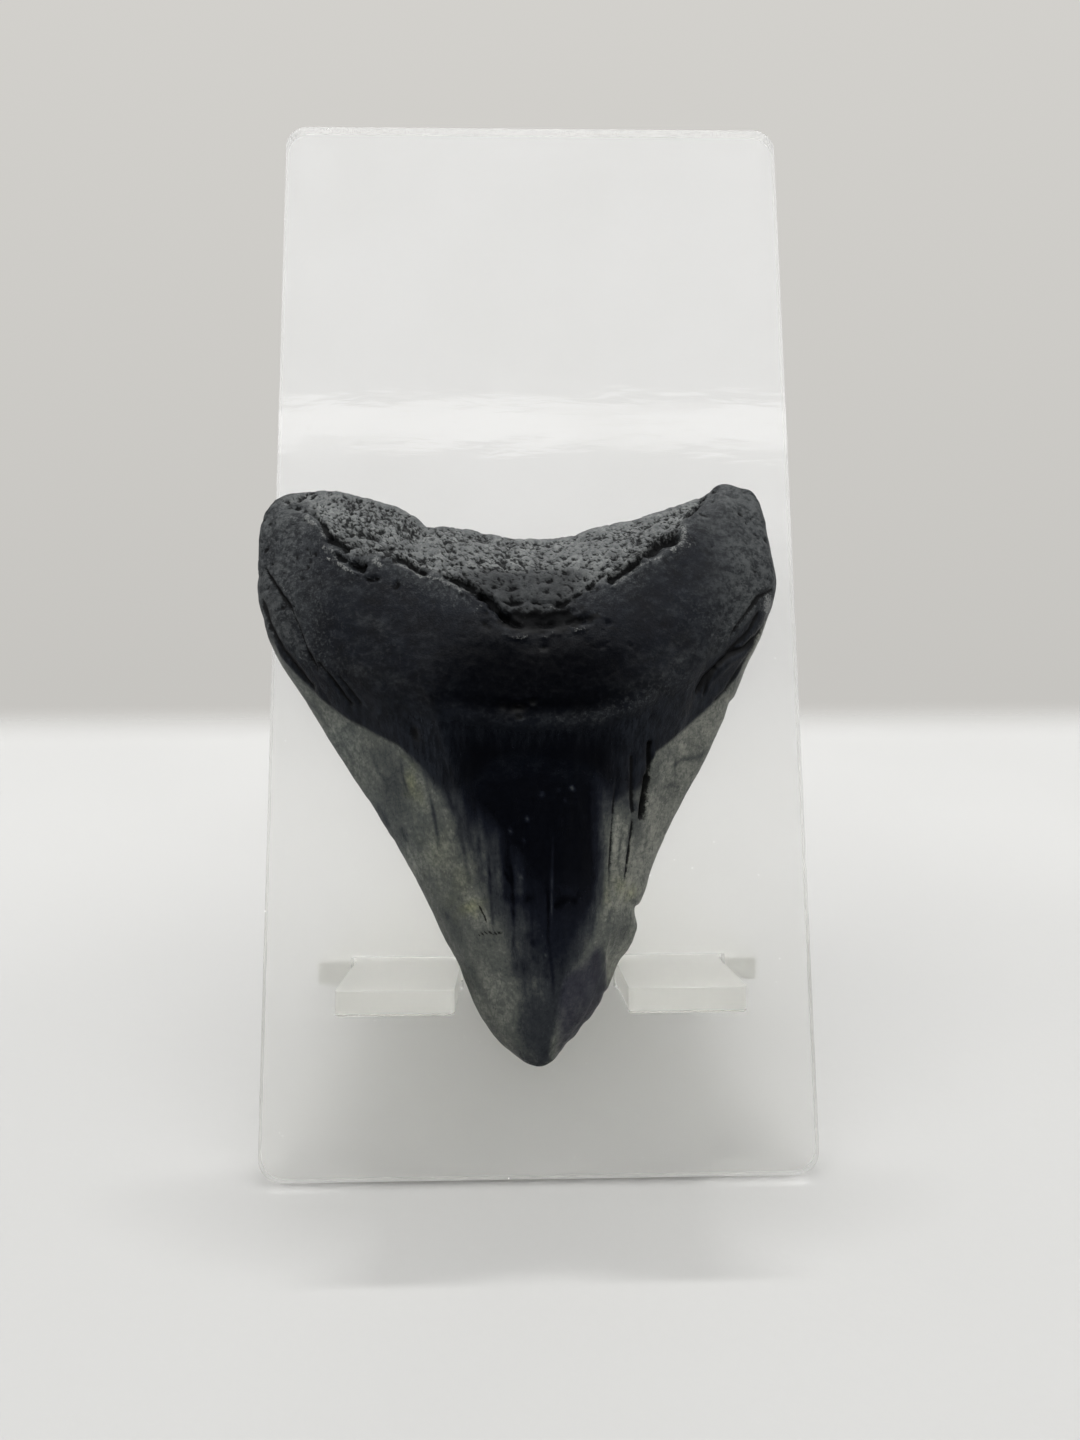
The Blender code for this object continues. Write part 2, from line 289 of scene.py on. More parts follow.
# ---------------------------------------------------------------- acrylic stand
def acrylic(name, axis, depth, sheet=3.0, frost="far", tones=((0.985, 0.985, 0.975), (0.968, 0.968, 0.955)), edge_rough=0.10, clear=1.0):
    """Clear cast sheet, polished on one face and frosted on the other.

    axis is the unit vector out of the sheet's upper face in the row frame, depth the value
    of the dot product (mm) on that face; frost says which of the two faces is the matt one.
    """
    m, net = material(name)
    obj = net.node("ShaderNodeTexCoord").outputs["Object"]
    below = net.math("SUBTRACT", depth, net.vector("DOT_PRODUCT", obj, tuple(axis * 1000.0)))
    frosted = net.ramp(below, sheet - 0.32, sheet - 0.12) if frost == "far" else net.ramp(below, 0.32, 0.12)
    p = net.plate_space()
    flat = net.plate_space((0.05, 1.0, 1.0))
    wipes = net.noise(flat, 0.9, 4.0, 0.6)
    fog = net.noise(p, 0.055, 3.0, 0.55)
    specks = net.ramp(net.cells(p, 0.42), 0.10, 0.04)
    polished = net.math("MULTIPLY_ADD", net.ramp(wipes, 0.42, 0.75), 0.07, 0.022)
    polished = net.math("MULTIPLY_ADD", net.ramp(fog, 0.45, 0.75), 0.05, polished)
    polished = net.math("MULTIPLY_ADD", specks, 0.25, polished)
    for place, reach, much in (((-3.5, 113.7), (3.4, 4.2), 0.10), ((6.2, 96.6), (0.9, 3.6), 0.08), ((-31.0, 102.0), (4.2, 3.2), 0.08),
                               ((-3.0, 131.2), (6.0, 0.7), 0.07), ((21.0, 108.5), (6.5, 1.2), 0.06)):
        away = net.vector("SUBTRACT", p, (place[0], place[1], 0.0))
        away = net.vector("MULTIPLY", away, (1.0 / reach[0], 1.0 / reach[1], 0.0))
        far_off = net.math("MULTIPLY_ADD", net.math("SUBTRACT", fog, 0.5), 1.6, net.vector("LENGTH", away))
        polished = net.math("MULTIPLY_ADD", net.ramp(far_off, 1.15, 0.45), much, polished)
    grain = net.noise(p, 7.0, 3.0, 0.6)
    matt = net.math("MULTIPLY_ADD", grain, 0.10, 0.60)
    rough = net.math("MULTIPLY_ADD", frosted, net.math("SUBTRACT", matt, polished), polished)
    cut_edge = net.math("MULTIPLY", net.ramp(below, 0.1, 0.3), net.ramp(below, sheet - 0.1, sheet - 0.3))
    rough = net.math("MULTIPLY_ADD", cut_edge, net.math("SUBTRACT", edge_rough, rough), rough)
    tone = net.mix(net.ramp(fog, 0.35, 0.7), tones[0], tones[1])
    shader = gloss_shader(net, Base_Color=tone, Roughness=rough, IOR=1.49)
    shader.inputs["Transmission Weight"].default_value = clear
    # a fine matt grain on the frosted face, faint wiping marks on the polished one
    drag = net.noise(net.plate_space((0.30, 1.0, 1.0)), 0.42, 3.0, 0.5)
    relief = net.mix(frosted, net.math("MULTIPLY", drag, 1.5), net.noise(p, 5.0, 4.0, 0.6))
    bump = net.node("ShaderNodeBump")
    bump.inputs["Strength"].default_value = 1.0
    bump.inputs["Distance"].default_value = 0.000012
    net.feed(bump.inputs["Height"], relief)
    net.feed(shader.inputs["Normal"], bump.outputs[0])
    out = net.node("ShaderNodeOutputMaterial")
    net.feed(out.inputs["Surface"], shader.outputs[0])
    return m


def soft_edges(node, width):
    b = node.modifiers.new("polished_edges", "BEVEL")
    b.width = width
    b.segments = 2
    b.limit_method = "ANGLE"
    b.angle_limit = math.radians(40)
    b.use_clamp_overlap = True
    b.harden_normals = False


names = sorted(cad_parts)
plate = next(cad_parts[n] for n in names if "plate" in n)
support = next(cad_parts[n] for n in names if "support" in n)
tooth_name = next(n for n in names if "tooth" in n)
DIP = math.radians(19.1)
support_up = np.array([0.0, math.sin(DIP), math.cos(DIP)])
plate_face = float(np.dot(EN, ORIGIN))
support_face = float(np.dot(support_up, np.array([0.419, -26.188, 26.481])))
for node, axis, depth, name in ((plate, EN, plate_face, "frosted_plate"), (support, support_up, support_face, "frosted_support")):
    if node is plate:
        m = acrylic(name, axis, depth, clear=0.93)
    else:
        m = acrylic(name, axis, depth, frost="near", tones=((0.99, 0.99, 0.955), (0.98, 0.98, 0.94)), edge_rough=0.45, clear=0.77)
    for s in node.material_slots:
        s.material = m
    if not node.material_slots:
        node.data.materials.append(m)
    soft_edges(node, 0.00028)


# ---------------------------------------------------------------- tooth: outline
LEFT = [(-36.3, 92.0), (-37.4, 90.4), (-38.1, 88.0), (-38.25, 85.2), (-38.25, 82.4), (-38.25, 79.0), (-37.7, 75.6),
        (-36.6, 72.0), (-34.8, 68.4), (-31.8, 63.9), (-28.5, 58.5), (-25.3, 53.5), (-22.6, 49.6), (-20.1, 45.6),
        (-17.6, 41.4), (-15.3, 37.1), (-13.5, 33.3), (-11.95, 30.3), (-10.90, 28.4), (-9.75, 25.6), (-7.8, 21.3), (-5.4, 18.2),
        (-3.5, 16.5)]
RIGHT = [(31.5, 91.7), (32.1, 88.8), (32.5, 85.9), (33.0, 82.6), (33.25, 80.2), (32.9, 77.7), (32.0, 75.0), (30.9, 72.1),
         (29.4, 69.1), (28.0, 65.9), (26.8, 63.1), (24.9, 59.2), (22.8, 54.9), (20.6, 51.1), (18.4, 47.1), (16.0, 42.2),
         (14.8, 38.6), (13.7, 35.6), (13.4, 32.8), (12.3, 30.3), (10.90, 28.4), (9.8, 26.0), (8.4, 23.4), (6.4, 20.6),
         (4.2, 18.3), (2.7, 16.7)]
TOP = [(-36.3, 92.0), (-34.8, 92.7), (-32.7, 93.0), (-27.7, 93.1), (-24.4, 92.3), (-19.8, 90.9), (-16.6, 89.1),
       (-14.9, 87.7), (-13.2, 87.9), (-9.8, 87.4), (-5.4, 86.4), (-2.1, 86.0), (1.2, 85.9), (5.1, 86.4), (7.9, 87.5),
       (11.4, 88.3), (14.8, 89.1), (18.1, 90.4), (21.0, 91.4), (23.8, 92.5), (25.5, 93.9), (27.0, 94.2), (28.6, 93.7),
       (30.4, 93.2), (31.5, 91.7)]
TIP = [(-3.5, 16.5), (-1.7, 15.4), (0.1, 15.0), (1.5, 15.6), (2.7, 16.7)]
# share down the tooth, height of the edge, height of the middle, fullness of the cross section
SECTION = np.array([(0.00, 6.2, 9.0, 0.60), (0.05, 6.6, 13.4, 0.64), (0.13, 6.6, 16.2, 0.72), (0.22, 5.9, 17.2, 0.84),
                    (0.31, 4.9, 16.6, 0.80), (0.36, 4.3, 15.3, 0.70), (0.42, 3.8, 13.9, 0.62), (0.50, 3.3, 12.9, 0.60),
                    (0.62, 2.9, 11.3, 0.60), (0.76, 2.7, 9.2, 0.62), (0.88, 2.6, 7.0, 0.66), (1.0, 2.6, 4.6, 0.75)])
BACK = 0.42


def walk(points, share):
    """Points at shares of the length along a smooth curve through the given points."""
    p = np.array(points, float)
    share = np.atleast_1d(np.asarray(share, float))
    run = np.r_[0, np.cumsum(np.linalg.norm(np.diff(p, axis=0), axis=1))]
    want = np.clip(share, 0, 1) * run[-1]
    i = np.clip(np.searchsorted(run, want, side="right") - 1, 0, len(p) - 2)
    t = ((want - run[i]) / (run[i + 1] - run[i]))[..., None]
    q = np.vstack([2 * p[0] - p[1], p, 2 * p[-1] - p[-2]])
    a, b, c, d = q[i], q[i + 1], q[i + 2], q[i + 3]
    return 0.5 * (2 * b + (c - a) * t + (2 * a - 5 * b + 4 * c - d) * t**2 + (3 * b - a - 3 * c + d) * t**3)


def gentle(x, xs, ys):
    """Smooth curve through (xs, ys) that never overshoots."""
    h, d = np.diff(xs), np.diff(ys) / np.diff(xs)
    m = np.zeros(len(xs))
    for k in range(1, len(xs) - 1):
        if d[k - 1] * d[k] > 0:
            w1, w2 = 2 * h[k] + h[k - 1], h[k] + 2 * h[k - 1]
            m[k] = (w1 + w2) / (w1 / d[k - 1] + w2 / d[k])
    m[0], m[-1] = d[0], d[-1]
    i = np.clip(np.searchsorted(xs, x, side="right") - 1, 0, len(xs) - 2)
    t = (x - xs[i]) / h[i]
    return ((2 * t**3 - 3 * t**2 + 1) * ys[i] + (t**3 - 2 * t**2 + t) * h[i] * m[i]
            + (-2 * t**3 + 3 * t**2) * ys[i + 1] + (t**3 - t**2) * h[i] * m[i + 1])


def outline(u, v):
    shape = np.shape(u)
    u, v = np.ravel(u), np.ravel(v)
    top, tip, left, right = walk(TOP, u), walk(TIP, u), walk(LEFT, v), walk(RIGHT, v)
    U, V = u[:, None], v[:, None]
    c00, c10, c01, c11 = [np.array(c, float) for c in (LEFT[0], RIGHT[0], LEFT[-1], RIGHT[-1])]
    p = (top * (1 - V) + tip * V + left * (1 - U) + right * U
         - ((c00 * (1 - U) + c10 * U) * (1 - V) + (c01 * (1 - U) + c11 * U) * V))
    return p[:, 0].reshape(shape), p[:, 1].reshape(shape)


def heights(u, v):
    edge, middle, full = [gentle(v, SECTION[:, 0], SECTION[:, k]) for k in (1, 2, 3)]
    top = np.clip(v / 0.10, 0, 1)
    tip = np.clip((1 - v) / 0.07, 0, 1)
    tip = 0.35 + 0.65 * np.sqrt(1 - (1 - tip) ** 2)
    close_front = np.minimum(0.30 + 0.70 * top * (2 - top), tip)
    close_back = np.minimum(0.25 + 0.75 * np.sqrt(1 - (1 - top) ** 2), tip)
    h = 2 * np.sqrt(np.clip(u * (1 - u), 0, 1))
    front = edge + (middle - edge) * close_front * h ** (1 / full)
    back = edge + (BACK - edge) * close_back * h**0.62
    return front, back


# ---------------------------------------------------------------- tooth: tools for detail
def steps(x, lo, hi):
    t = np.clip((x - lo) / (hi - lo), 0, 1)
    return t * t * (3 - 2 * t)


def near(X, S, line):
    """Distance to a line of points, share of the way along it, and side (+1 on its left)."""
    p = np.array(line, float)
    seg = np.diff(p, axis=0)
    length = np.hypot(seg[:, 0], seg[:, 1])
    run = np.r_[0, np.cumsum(length)]
    best = np.full(X.shape, 1e9)
    along = np.zeros(X.shape)
    side = np.ones(X.shape)
    for (ax, ay), (bx, by), l, r in zip(p[:-1], seg, length, run):
        t = np.clip(((X - ax) * bx + (S - ay) * by) / l**2, 0, 1)
        dx, dy = X - ax - t * bx, S - ay - t * by
        d = np.hypot(dx, dy)
        hit = d < best
        best[hit] = d[hit]
        along[hit] = (r + t[hit] * l) / run[-1]
        side[hit] = np.where(bx * dy[hit] - by * dx[hit] >= 0, 1.0, -1.0)
    return best, along, side


def grain(P, size, seed, octaves=1, gain=0.5):
    """Smooth repeatable noise between -1 and 1; size is the wavelength in mm."""
    total, amp, norm = 0.0, 1.0, 0.0
    Q = np.asarray(P, float)
    for k in range(octaves):
        lattice = np.random.RandomState(seed + 17 * k).rand(48, 48, 48) * 2 - 1
        q = Q / size + 1000.37
        i = np.floor(q).astype(int)
        f = q - i
        f = f * f * (3 - 2 * f)
        i0, i1 = i % 48, (i + 1) % 48
        x0, y0, z0 = i0[..., 0], i0[..., 1], i0[..., 2]
        x1, y1, z1 = i1[..., 0], i1[..., 1], i1[..., 2]
        fx, fy, fz = f[..., 0], f[..., 1], f[..., 2]
        a = lattice[x0, y0, z0] * (1 - fx) + lattice[x1, y0, z0] * fx
        b = lattice[x0, y1, z0] * (1 - fx) + lattice[x1, y1, z0] * fx
        c = lattice[x0, y0, z1] * (1 - fx) + lattice[x1, y0, z1] * fx
        d = lattice[x0, y1, z1] * (1 - fx) + lattice[x1, y1, z1] * fx
        total = total + amp * ((a * (1 - fy) + b * fy) * (1 - fz) + (c * (1 - fy) + d * fy) * fz)
        norm += amp
        amp *= gain
        size *= 0.5
        Q = Q[..., [1, 2, 0]] * np.array([1.0, -1.0, 1.0]) + 3.1
    return total / norm


# ---------------------------------------------------------------- tooth: the grid
ROWS, FRONT, BEHIND = 282, 292, 54
weight_v = np.linspace(0, 1, 4001)
density = 0.60 + 0.40 * (1 - steps(weight_v, 0.38, 0.48))
cumulative = np.r_[0, np.cumsum((density[1:] + density[:-1]) / 2)]
v_rows = np.interp(np.linspace(0, cumulative[-1], ROWS), cumulative, weight_v)
t_front = np.linspace(0, 1, FRONT)
u_front = 0.68 * t_front + 0.32 * (0.5 - 0.5 * np.cos(math.pi * t_front))
t_back = np.linspace(1, 0, BEHIND + 2)[1:-1]
u_back = 0.25 * t_back + 0.75 * (0.5 - 0.5 * np.cos(math.pi * t_back))
u_loop = np.r_[u_front, u_back]
COLS = len(u_loop)
U, V = np.meshgrid(u_loop, v_rows)
X, S = outline(U, V)
front_n, back_n = heights(U, V)
is_front = np.zeros(COLS, bool)
is_front[:FRONT] = True
N = np.where(is_front[None, :], front_n, back_n)
P = np.stack([X, S, N], axis=-1)

across = np.roll(P, -1, axis=1) - np.roll(P, 1, axis=1)
down = np.gradient(P, axis=0)
normal = np.cross(down, across)
normal /= np.linalg.norm(normal, axis=-1, keepdims=True) + 1e-12
if normal[ROWS // 2, FRONT // 2, 2] < 0:
    normal = -normal

# ---------------------------------------------------------------- tooth: where things are
CRACK = [(-30.6, 89.4), (-28.3, 85.9), (-26.2, 83.4), (-24.3, 81.3), (-21.5, 81.2), (-18.5, 80.8), (-15.6, 79.2),
         (-12.1, 78.0), (-9.0, 76.6), (-6.5, 75.0), (-4.4, 73.6), (-1.5, 73.0), (1.5, 73.0), (3.6, 74.2), (5.7, 75.8),
         (8.2, 77.2), (12.4, 79.9), (14.9, 81.9), (18.9, 84.9), (21.5, 89.0), (23.8, 92.5)]
RIDGE = [(-34.0, 71.5), (-30.5, 67.5), (-27.5, 65.6), (-20.6, 62.7), (-15.3, 60.9), (-11.4, 60.2), (-7.6, 59.4), (-2.4, 58.5),
         (2.7, 58.9), (5.4, 58.9), (9.1, 59.6), (13.1, 61.3), (15.7, 63.0), (18.8, 64.5), (21.3, 66.8), (24.6, 69.5),
         (28.0, 73.5), (32.0, 78.0)]
# the enamel's upper edge, from each side in to the dark middle
COAT_L = [(-37.2, 75.6), (-36.9, 74.5), (-34.8, 69.6), (-32.0, 66.3), (-29.1, 63.6), (-25.7, 61.0), (-21.7, 58.7), (-18.4, 56.9),
          (-16.4, 55.3), (-14.8, 53.7), (-13.5, 51.9), (-12.2, 51.0), (-10.5, 50.6), (-9.0, 51.0), (-7.5, 52.0), (-5.0, 53.5), (-1.0, 54.0)]
COAT_R = [(0.0, 54.0), (5.0, 53.5), (7.4, 52.4), (8.6, 51.2), (9.8, 50.4), (11.0, 50.2), (12.8, 50.6), (14.0, 51.6), (14.5, 53.6), (15.6, 55.8), (18.4, 58.1), (21.3, 60.6),
          (24.8, 63.5), (27.4, 66.6), (31.5, 74.5), (33.0, 76.5)]
# the dark stain down the middle: where it starts and where it is full, on each side
STAIN_L0 = [(-19.5, 60.0), (-17.5, 55.1), (-14.9, 52.4), (-12.9, 49.8), (-11.6, 47.2), (-10.9, 44.6), (-9.7, 42.0), (-9.1, 39.4),
            (-7.8, 36.9), (-6.5, 34.3), (-5.2, 31.8), (-4.2, 29.1), (-3.3, 26.6), (-2.8, 23.9), (-3.3, 21.4), (-3.7, 17.0)]
STAIN_L1 = [(-9.9, 60.0), (-8.9, 54.6), (-7.6, 52.1), (-7.4, 49.6), (-5.3, 47.0), (-3.2, 44.4), (-1.3, 41.9), (0.0, 39.4),
            (1.2, 36.8), (1.4, 34.2), (1.5, 31.7), (1.8, 29.1), (1.8, 26.5), (1.5, 23.9), (0.8, 21.3), (0.2, 17.0)]
STAIN_R1 = [(8.9, 60.0), (7.9, 54.6), (6.4, 52.1), (6.5, 49.6), (6.5, 47.0), (6.5, 44.4), (6.8, 41.9), (6.8, 39.4), (6.5, 36.8),
            (5.0, 34.2), (3.8, 31.7), (3.2, 29.1), (2.8, 26.5), (2.4, 23.9), (1.7, 21.3), (0.9, 17.0)]
STAIN_R0 = [(15.8, 60.0), (15.4, 54.9), (14.3, 52.3), (10.6, 49.6), (9.6, 47.0), (9.2, 44.4), (9.0, 41.9), (8.9, 39.4), (8.7, 36.8),
            (8.5, 34.2), (8.2, 31.7), (6.2, 29.1), (4.2, 26.5), (3.4, 23.9), (2.8, 21.3), (2.1, 17.0)]


def follow(line, at, key=0):
    """Value of a line of points at a place along X (key 0) or along S (key 1)."""
    p = np.array(sorted(line, key=lambda q: q[key]))
    return np.interp(at, p[:, key], p[:, 1 - key])


above = S - follow(CRACK, X)
basal = steps(above, -0.5, 0.6) * steps(X, -33.0, -30.0) * (1 - steps(X, 23.4, 25.4))
basal = np.maximum(basal, steps(S, 90.6, 91.6) * steps(X, -37, -32) * (1 - steps(X, -26, -22)))
ridge_s = follow(RIDGE, X)
root = steps(S - ridge_s + 0.5 * grain(P, 1.6, 887, 3), -1.3, 1.3)
coat_s = np.where(X < 0, follow(COAT_L, X), follow(COAT_R, X))
wob = grain(P, 2.2, 901, 2)
blur = np.interp(np.abs(X), [7.0, 11.0, 15.0], [2.6, 1.4, 0.35])
below_coat = steps(coat_s - S + 0.35 * wob * blur, -blur, blur)

disp = np.zeros_like(X)      # along the surface normal, mm
grime_and_shade = np.zeros_like(X)     # 0..1 dark dirt plus painted shade held in cracks, grooves, pits and pores
rubbed_and_lit = np.zeros_like(X)      # 0..1 paler, freshly rubbed stone on lips and grains, with painted highlight where lips face the top light
fm = is_front[None, :] * np.ones_like(X)
rim = np.minimum(U, 1 - U)
crown = 1 - root

# low undulation of the whole tooth, stronger on the root
disp += 0.30 * grain(P, 14.0, 11, 2) * (0.35 + 0.65 * root) * steps(V, 0.0, 0.05)
disp += 0.10 * grain(P, 4.0, 12, 2) * root

# root bulge steps down to the neck
rise = steps(S - ridge_s, -2.0, 2.0)
disp += fm * 0.34 * (rise - 0.5) * steps(X, -33, -26) * (1 - steps(X, 26, 31)) * np.exp(-np.abs(S - ridge_s) / 9.0)
ridge_band = np.exp(-((S - ridge_s - 0.7) / 1.0) ** 2)
disp += fm * 0.05 * ridge_band * steps(X, -14, 6)

# the front face runs flat up to the crack, then the rough basal face falls away behind it
shelf = np.interp(np.abs(X), [0, 6, 14, 24, 31], [0.15, 0.45, 1.0, 1.2, 0.5])
disp += fm * shelf * np.where(above < 0, np.exp(-(above / 6.0) ** 2), np.exp(-(above / 1.7) ** 2)) * steps(V, 0.0, 0.06) * steps(X, -33, -28) * (1 - steps(X, 23, 29))
trough = np.exp(-((X + 2.0) / 9.0) ** 4) * steps(80.2 - S, 0.0, 1.6) * steps(above, -1.0, 0.5)
rough_zone = basal * (1 - 0.55 * trough)
gritty = grain(P, 0.75, 22, 2, 0.7)
lumps = grain(P, 1.7, 21, 3, 0.6)
webs = np.clip(0.16 - np.abs(grain(P, 1.25, 23, 2, 0.6)), 0, None) / 0.16
disp += fm * rough_zone * (0.22 * lumps + 0.10 * gritty - 0.12 * webs)
grime_and_shade = np.maximum(grime_and_shade, fm * rough_zone * np.clip(0.50 * webs - 0.6 * gritty - 0.16, 0, 0.42))
rubbed_and_lit = np.maximum(rubbed_and_lit, fm * rough_zone * steps(gritty + 0.5 * lumps, 0.22, 0.75) * (0.40 + 0.35 * steps(-X, 12, 20)))
# lingual face: smoother, lightly scarred
ling = root * (1 - basal)
disp += fm * ling * (0.05 * grain(P, 2.4, 31, 3, 0.6) + 0.03 * grain(P, 0.8, 32, 2))


def mark(line, width, seed, wave=0.12, taper=0.2):
    """Share of a drawn line's mark on the surface, 0 to 1."""
    d, along, side = near(X, S, line)
    d = d + wave * grain(P, 1.3, seed, 2)
    return fm * np.exp(-(np.clip(d, 0, None) / width) ** 2) * steps(along, -0.001, taper) * (1 - steps(along, 1 - taper, 1.001))


def patch(x, s, rx, rs, angle=0.0, seed=60, rag=0.35, power=2.0, size=1.3):
    """Share of a ragged oval patch, 0 to 1."""
    c, si = math.cos(math.radians(angle)), math.sin(math.radians(angle))
    dx, ds = X - x, S - s
    r = np.hypot((dx * c + ds * si) / rx, (-dx * si + ds * c) / rs) * (1 + rag * grain(P, size, seed, 2))
    return fm * np.exp(-(np.clip(r, 0, None) ** power))


def slit(line, width, depth, seed, slope=0.0, pale=0.0, dirt_and_shade=1.0, taper=0.14, rag=0.26):
    """Ragged crack, sheer on its upper side, painted dark inside as dirt and painted shade; slope is the width of its
    lower wall, pale how much that wall is painted lighter, as rubbed stone and as a painted highlight where it faces
    up.
    """
    global disp, grime_and_shade, rubbed_and_lit
    d, along, side = near(X, S, line)
    ends = steps(along, -0.001, taper) * (1 - steps(along, 1 - taper, 1.001))
    wide = width * (0.95 + 0.75 * grain(P, 2.1, seed, 2)) * (0.45 + 0.55 * ends)
    e = d - wide + rag * (0.8 * grain(P, 0.9, seed + 1, 2, 0.6) + 0.7 * grain(P, 0.55, seed + 3))
    cut = 1 - steps(e, -0.12, 0.10)
    if slope:
        lower = (side < 0) * np.clip(1 - (d - 0.5 * wide) / slope, 0, 1)
        wall = (side < 0) * np.exp(-((d - wide - 0.30 * slope) / (0.42 * slope)) ** 2) * (0.55 + 0.9 * np.clip(grain(P, 0.9, seed + 2, 2, 0.6) + 0.25, 0, 1))
        disp -= fm * depth * np.maximum(cut, lower) * ends
        disp += fm * 0.10 * (side < 0) * np.exp(-((d - wide - slope) / 0.35) ** 2) * ends
        rubbed_and_lit = np.maximum(rubbed_and_lit, fm * pale * np.clip(wall, 0, 1) * ends)
    else:
        disp -= fm * depth * cut * ends
    grime_and_shade = np.maximum(grime_and_shade, fm * dirt_and_shade * (1 - steps(e + 0.10 * (side < 0), -0.22, 0.12)) * ends)


def groove(line, depth, width, wave=0.35, seed=50, lip=0.0, lip_at=1.0, step=0.0, step_width=1.6, taper=0.08, dirt_and_shade=1.0, pulse=0.0):
    """Soft groove along a line, painted dark inside as dirt and painted shade; lip raises its right-hand side, step
    lowers it.
    """
    global disp, grime_and_shade
    d, along, side = near(X, S, line)
    d = d + wave * grain(P, 1.6, seed, 2) * np.clip(1 - d / 3, 0, 1)
    ends = steps(along, 0, taper) * (1 - steps(along, 1 - taper, 1))
    ends = np.where((along <= 0) | (along >= 1), 0.0, ends)
    if pulse:
        ends = ends * (1 - pulse + pulse * steps(grain(P, 3.5, seed + 5, 2), -0.35, 0.25))
    cut = np.exp(-(np.clip(d, 0, None) / width) ** 2)
    disp -= fm * depth * cut * ends
    if lip:
        disp += fm * lip * np.exp(-((d - lip_at) / (0.45 * lip_at + 0.1)) ** 2) * (side < 0) * ends
    if step:
        fall = np.exp(-(d / step_width) ** 2)
        disp -= fm * step * fall * (side < 0) * ends
    grime_and_shade = np.maximum(grime_and_shade, fm * dirt_and_shade * np.exp(-(np.clip(d, 0, None) / (width * 1.15)) ** 2) * ends)


def pit(x, s, rx, rs, depth, angle=0.0, seed=60, power=2.0, dirt_and_shade=1.0):
    """An oval hollow, painted dark inside as dirt and painted shade."""
    global disp, grime_and_shade
    r = patch(x, s, rx, rs, angle, seed, 0.35, power)
    disp -= depth * r
    grime_and_shade = np.maximum(grime_and_shade, dirt_and_shade * r)


def chip(line, width, lift, pale, seed, break_up=0.7):
    """A raised, rubbed lip or a row of loose crumbs, painted paler as rubbed stone and as a painted highlight."""
    global disp, rubbed_and_lit
    m_ = mark(line, width, seed, 0.18, 0.18)
    crumbs = 1 - break_up + break_up * steps(grain(P, 1.0, seed + 3, 2, 0.6), -0.25, 0.35)
    disp += lift * m_ * crumbs
    rubbed_and_lit = np.maximum(rubbed_and_lit, pale * m_ * crumbs)


# loosened ground on both sides of the crack
d, along, side = near(X, S, CRACK)
crumble = np.exp(-(d / 1.5) ** 2) * steps(V, 0.0, 0.03)
disp += fm * crumble * (0.34 * grain(P, 0.95, 133, 3, 0.7) + 0.16 * grain(P, 2.1, 134, 2))
grime_and_shade = np.maximum(grime_and_shade, fm * crumble * 0.55 * steps(-grain(P, 0.9, 135, 2, 0.7), 0.12, 0.5))
rubble = np.exp(-(((X - 0.8) / 6.8) ** 2 + ((S - 72.6) / 2.5) ** 2) ** 2)
disp += fm * rubble * (0.32 * grain(P, 1.0, 145, 3, 0.7))
grime_and_shade = np.maximum(grime_and_shade, 0.95 * patch(0.4, 72.0, 6.0, 1.5, 2, 148, 0.6, 4.0, 1.0))
grime_and_shade = np.maximum(grime_and_shade, fm * rubble * 0.62 * steps(-grain(P, 1.3, 146, 2, 0.7), -0.10, 0.45))
rubbed_and_lit = np.maximum(rubbed_and_lit, fm * rubble * 0.45 * steps(grain(P, 0.8, 147, 2, 0.7), 0.20, 0.60))

# left arm of the crack, piece by piece
slit([(-30.9, 89.8), (-30.6, 89.2), (-29.3, 87.6), (-28.3, 85.9), (-27.4, 84.3)], 0.30, 0.7, 1010, slope=0.5, pale=0.5)
slit([(-28.1, 84.8), (-27.2, 84.2), (-26.2, 83.5), (-25.3, 82.7), (-24.6, 81.6)], 0.56, 1.2, 1020, slope=0.8, pale=0.5)
slit([(-26.5, 81.9), (-25.4, 81.0), (-24.2, 80.4)], 0.32, 0.7, 1030, slope=0.5, pale=0.5, taper=0.25)
slit([(-24.6, 80.4), (-23.6, 80.0), (-22.6, 79.5), (-21.9, 79.3)], 0.72, 1.4, 1040, slope=0.7, pale=0.35, taper=0.2)
slit([(-22.4, 77.9), (-21.3, 77.8), (-20.1, 78.0)], 0.22, 0.6, 1050, taper=0.25)
slit([(-21.5, 82.0), (-20.4, 82.2), (-18.7, 82.7)], 0.42, 1.0, 1060, taper=0.25)
slit([(-19.4, 82.0), (-17.0, 81.4), (-14.9, 80.4), (-12.9, 79.1)], 0.16, 0.35, 1070, dirt_and_shade=0.55)
slit([(-18.8, 80.8), (-16.8, 80.0), (-15.6, 79.0), (-14.0, 78.2)], 0.36, 1.0, 1080, slope=0.9, pale=0.75)
slit([(-12.6, 78.3), (-10.3, 77.5), (-9.0, 76.8), (-7.6, 75.8)], 0.36, 1.0, 1090, slope=1.0, pale=0.70)
slit([(-8.3, 76.1), (-6.5, 75.1), (-5.2, 73.6), (-3.6, 71.8)], 0.48, 1.2, 1100, slope=0.8, pale=0.25)
pit(-7.1, 75.4, 1.0, 0.55, 0.6, -30, 1101)
chip([(-31.5, 88.8), (-30.4, 87.3), (-29.2, 86.2)], 0.42, 0.16, 0.80, 1110, 0.4)
chip([(-28.6, 83.4), (-27.4, 82.5), (-26.0, 81.4)], 0.36, 0.14, 0.60, 1120)
chip([(-28.0, 81.7), (-25.4, 79.9), (-23.3, 78.4)], 0.26, 0.16, 0.70, 1130, 0.5)
chip([(-21.3, 80.9), (-20.7, 80.1), (-20.0, 79.3)], 0.45, 0.18, 0.60, 1140, 0.4)
chip([(-17.2, 79.3), (-15.2, 78.2), (-12.7, 77.4), (-10.7, 76.3), (-8.5, 75.2)], 0.30, 0.14, 0.60, 1150, 0.5)
chip([(-12.4, 74.4), (-10.0, 74.7), (-6.2, 72.9)], 0.8, 0.10, 0.30, 1160, 0.8)
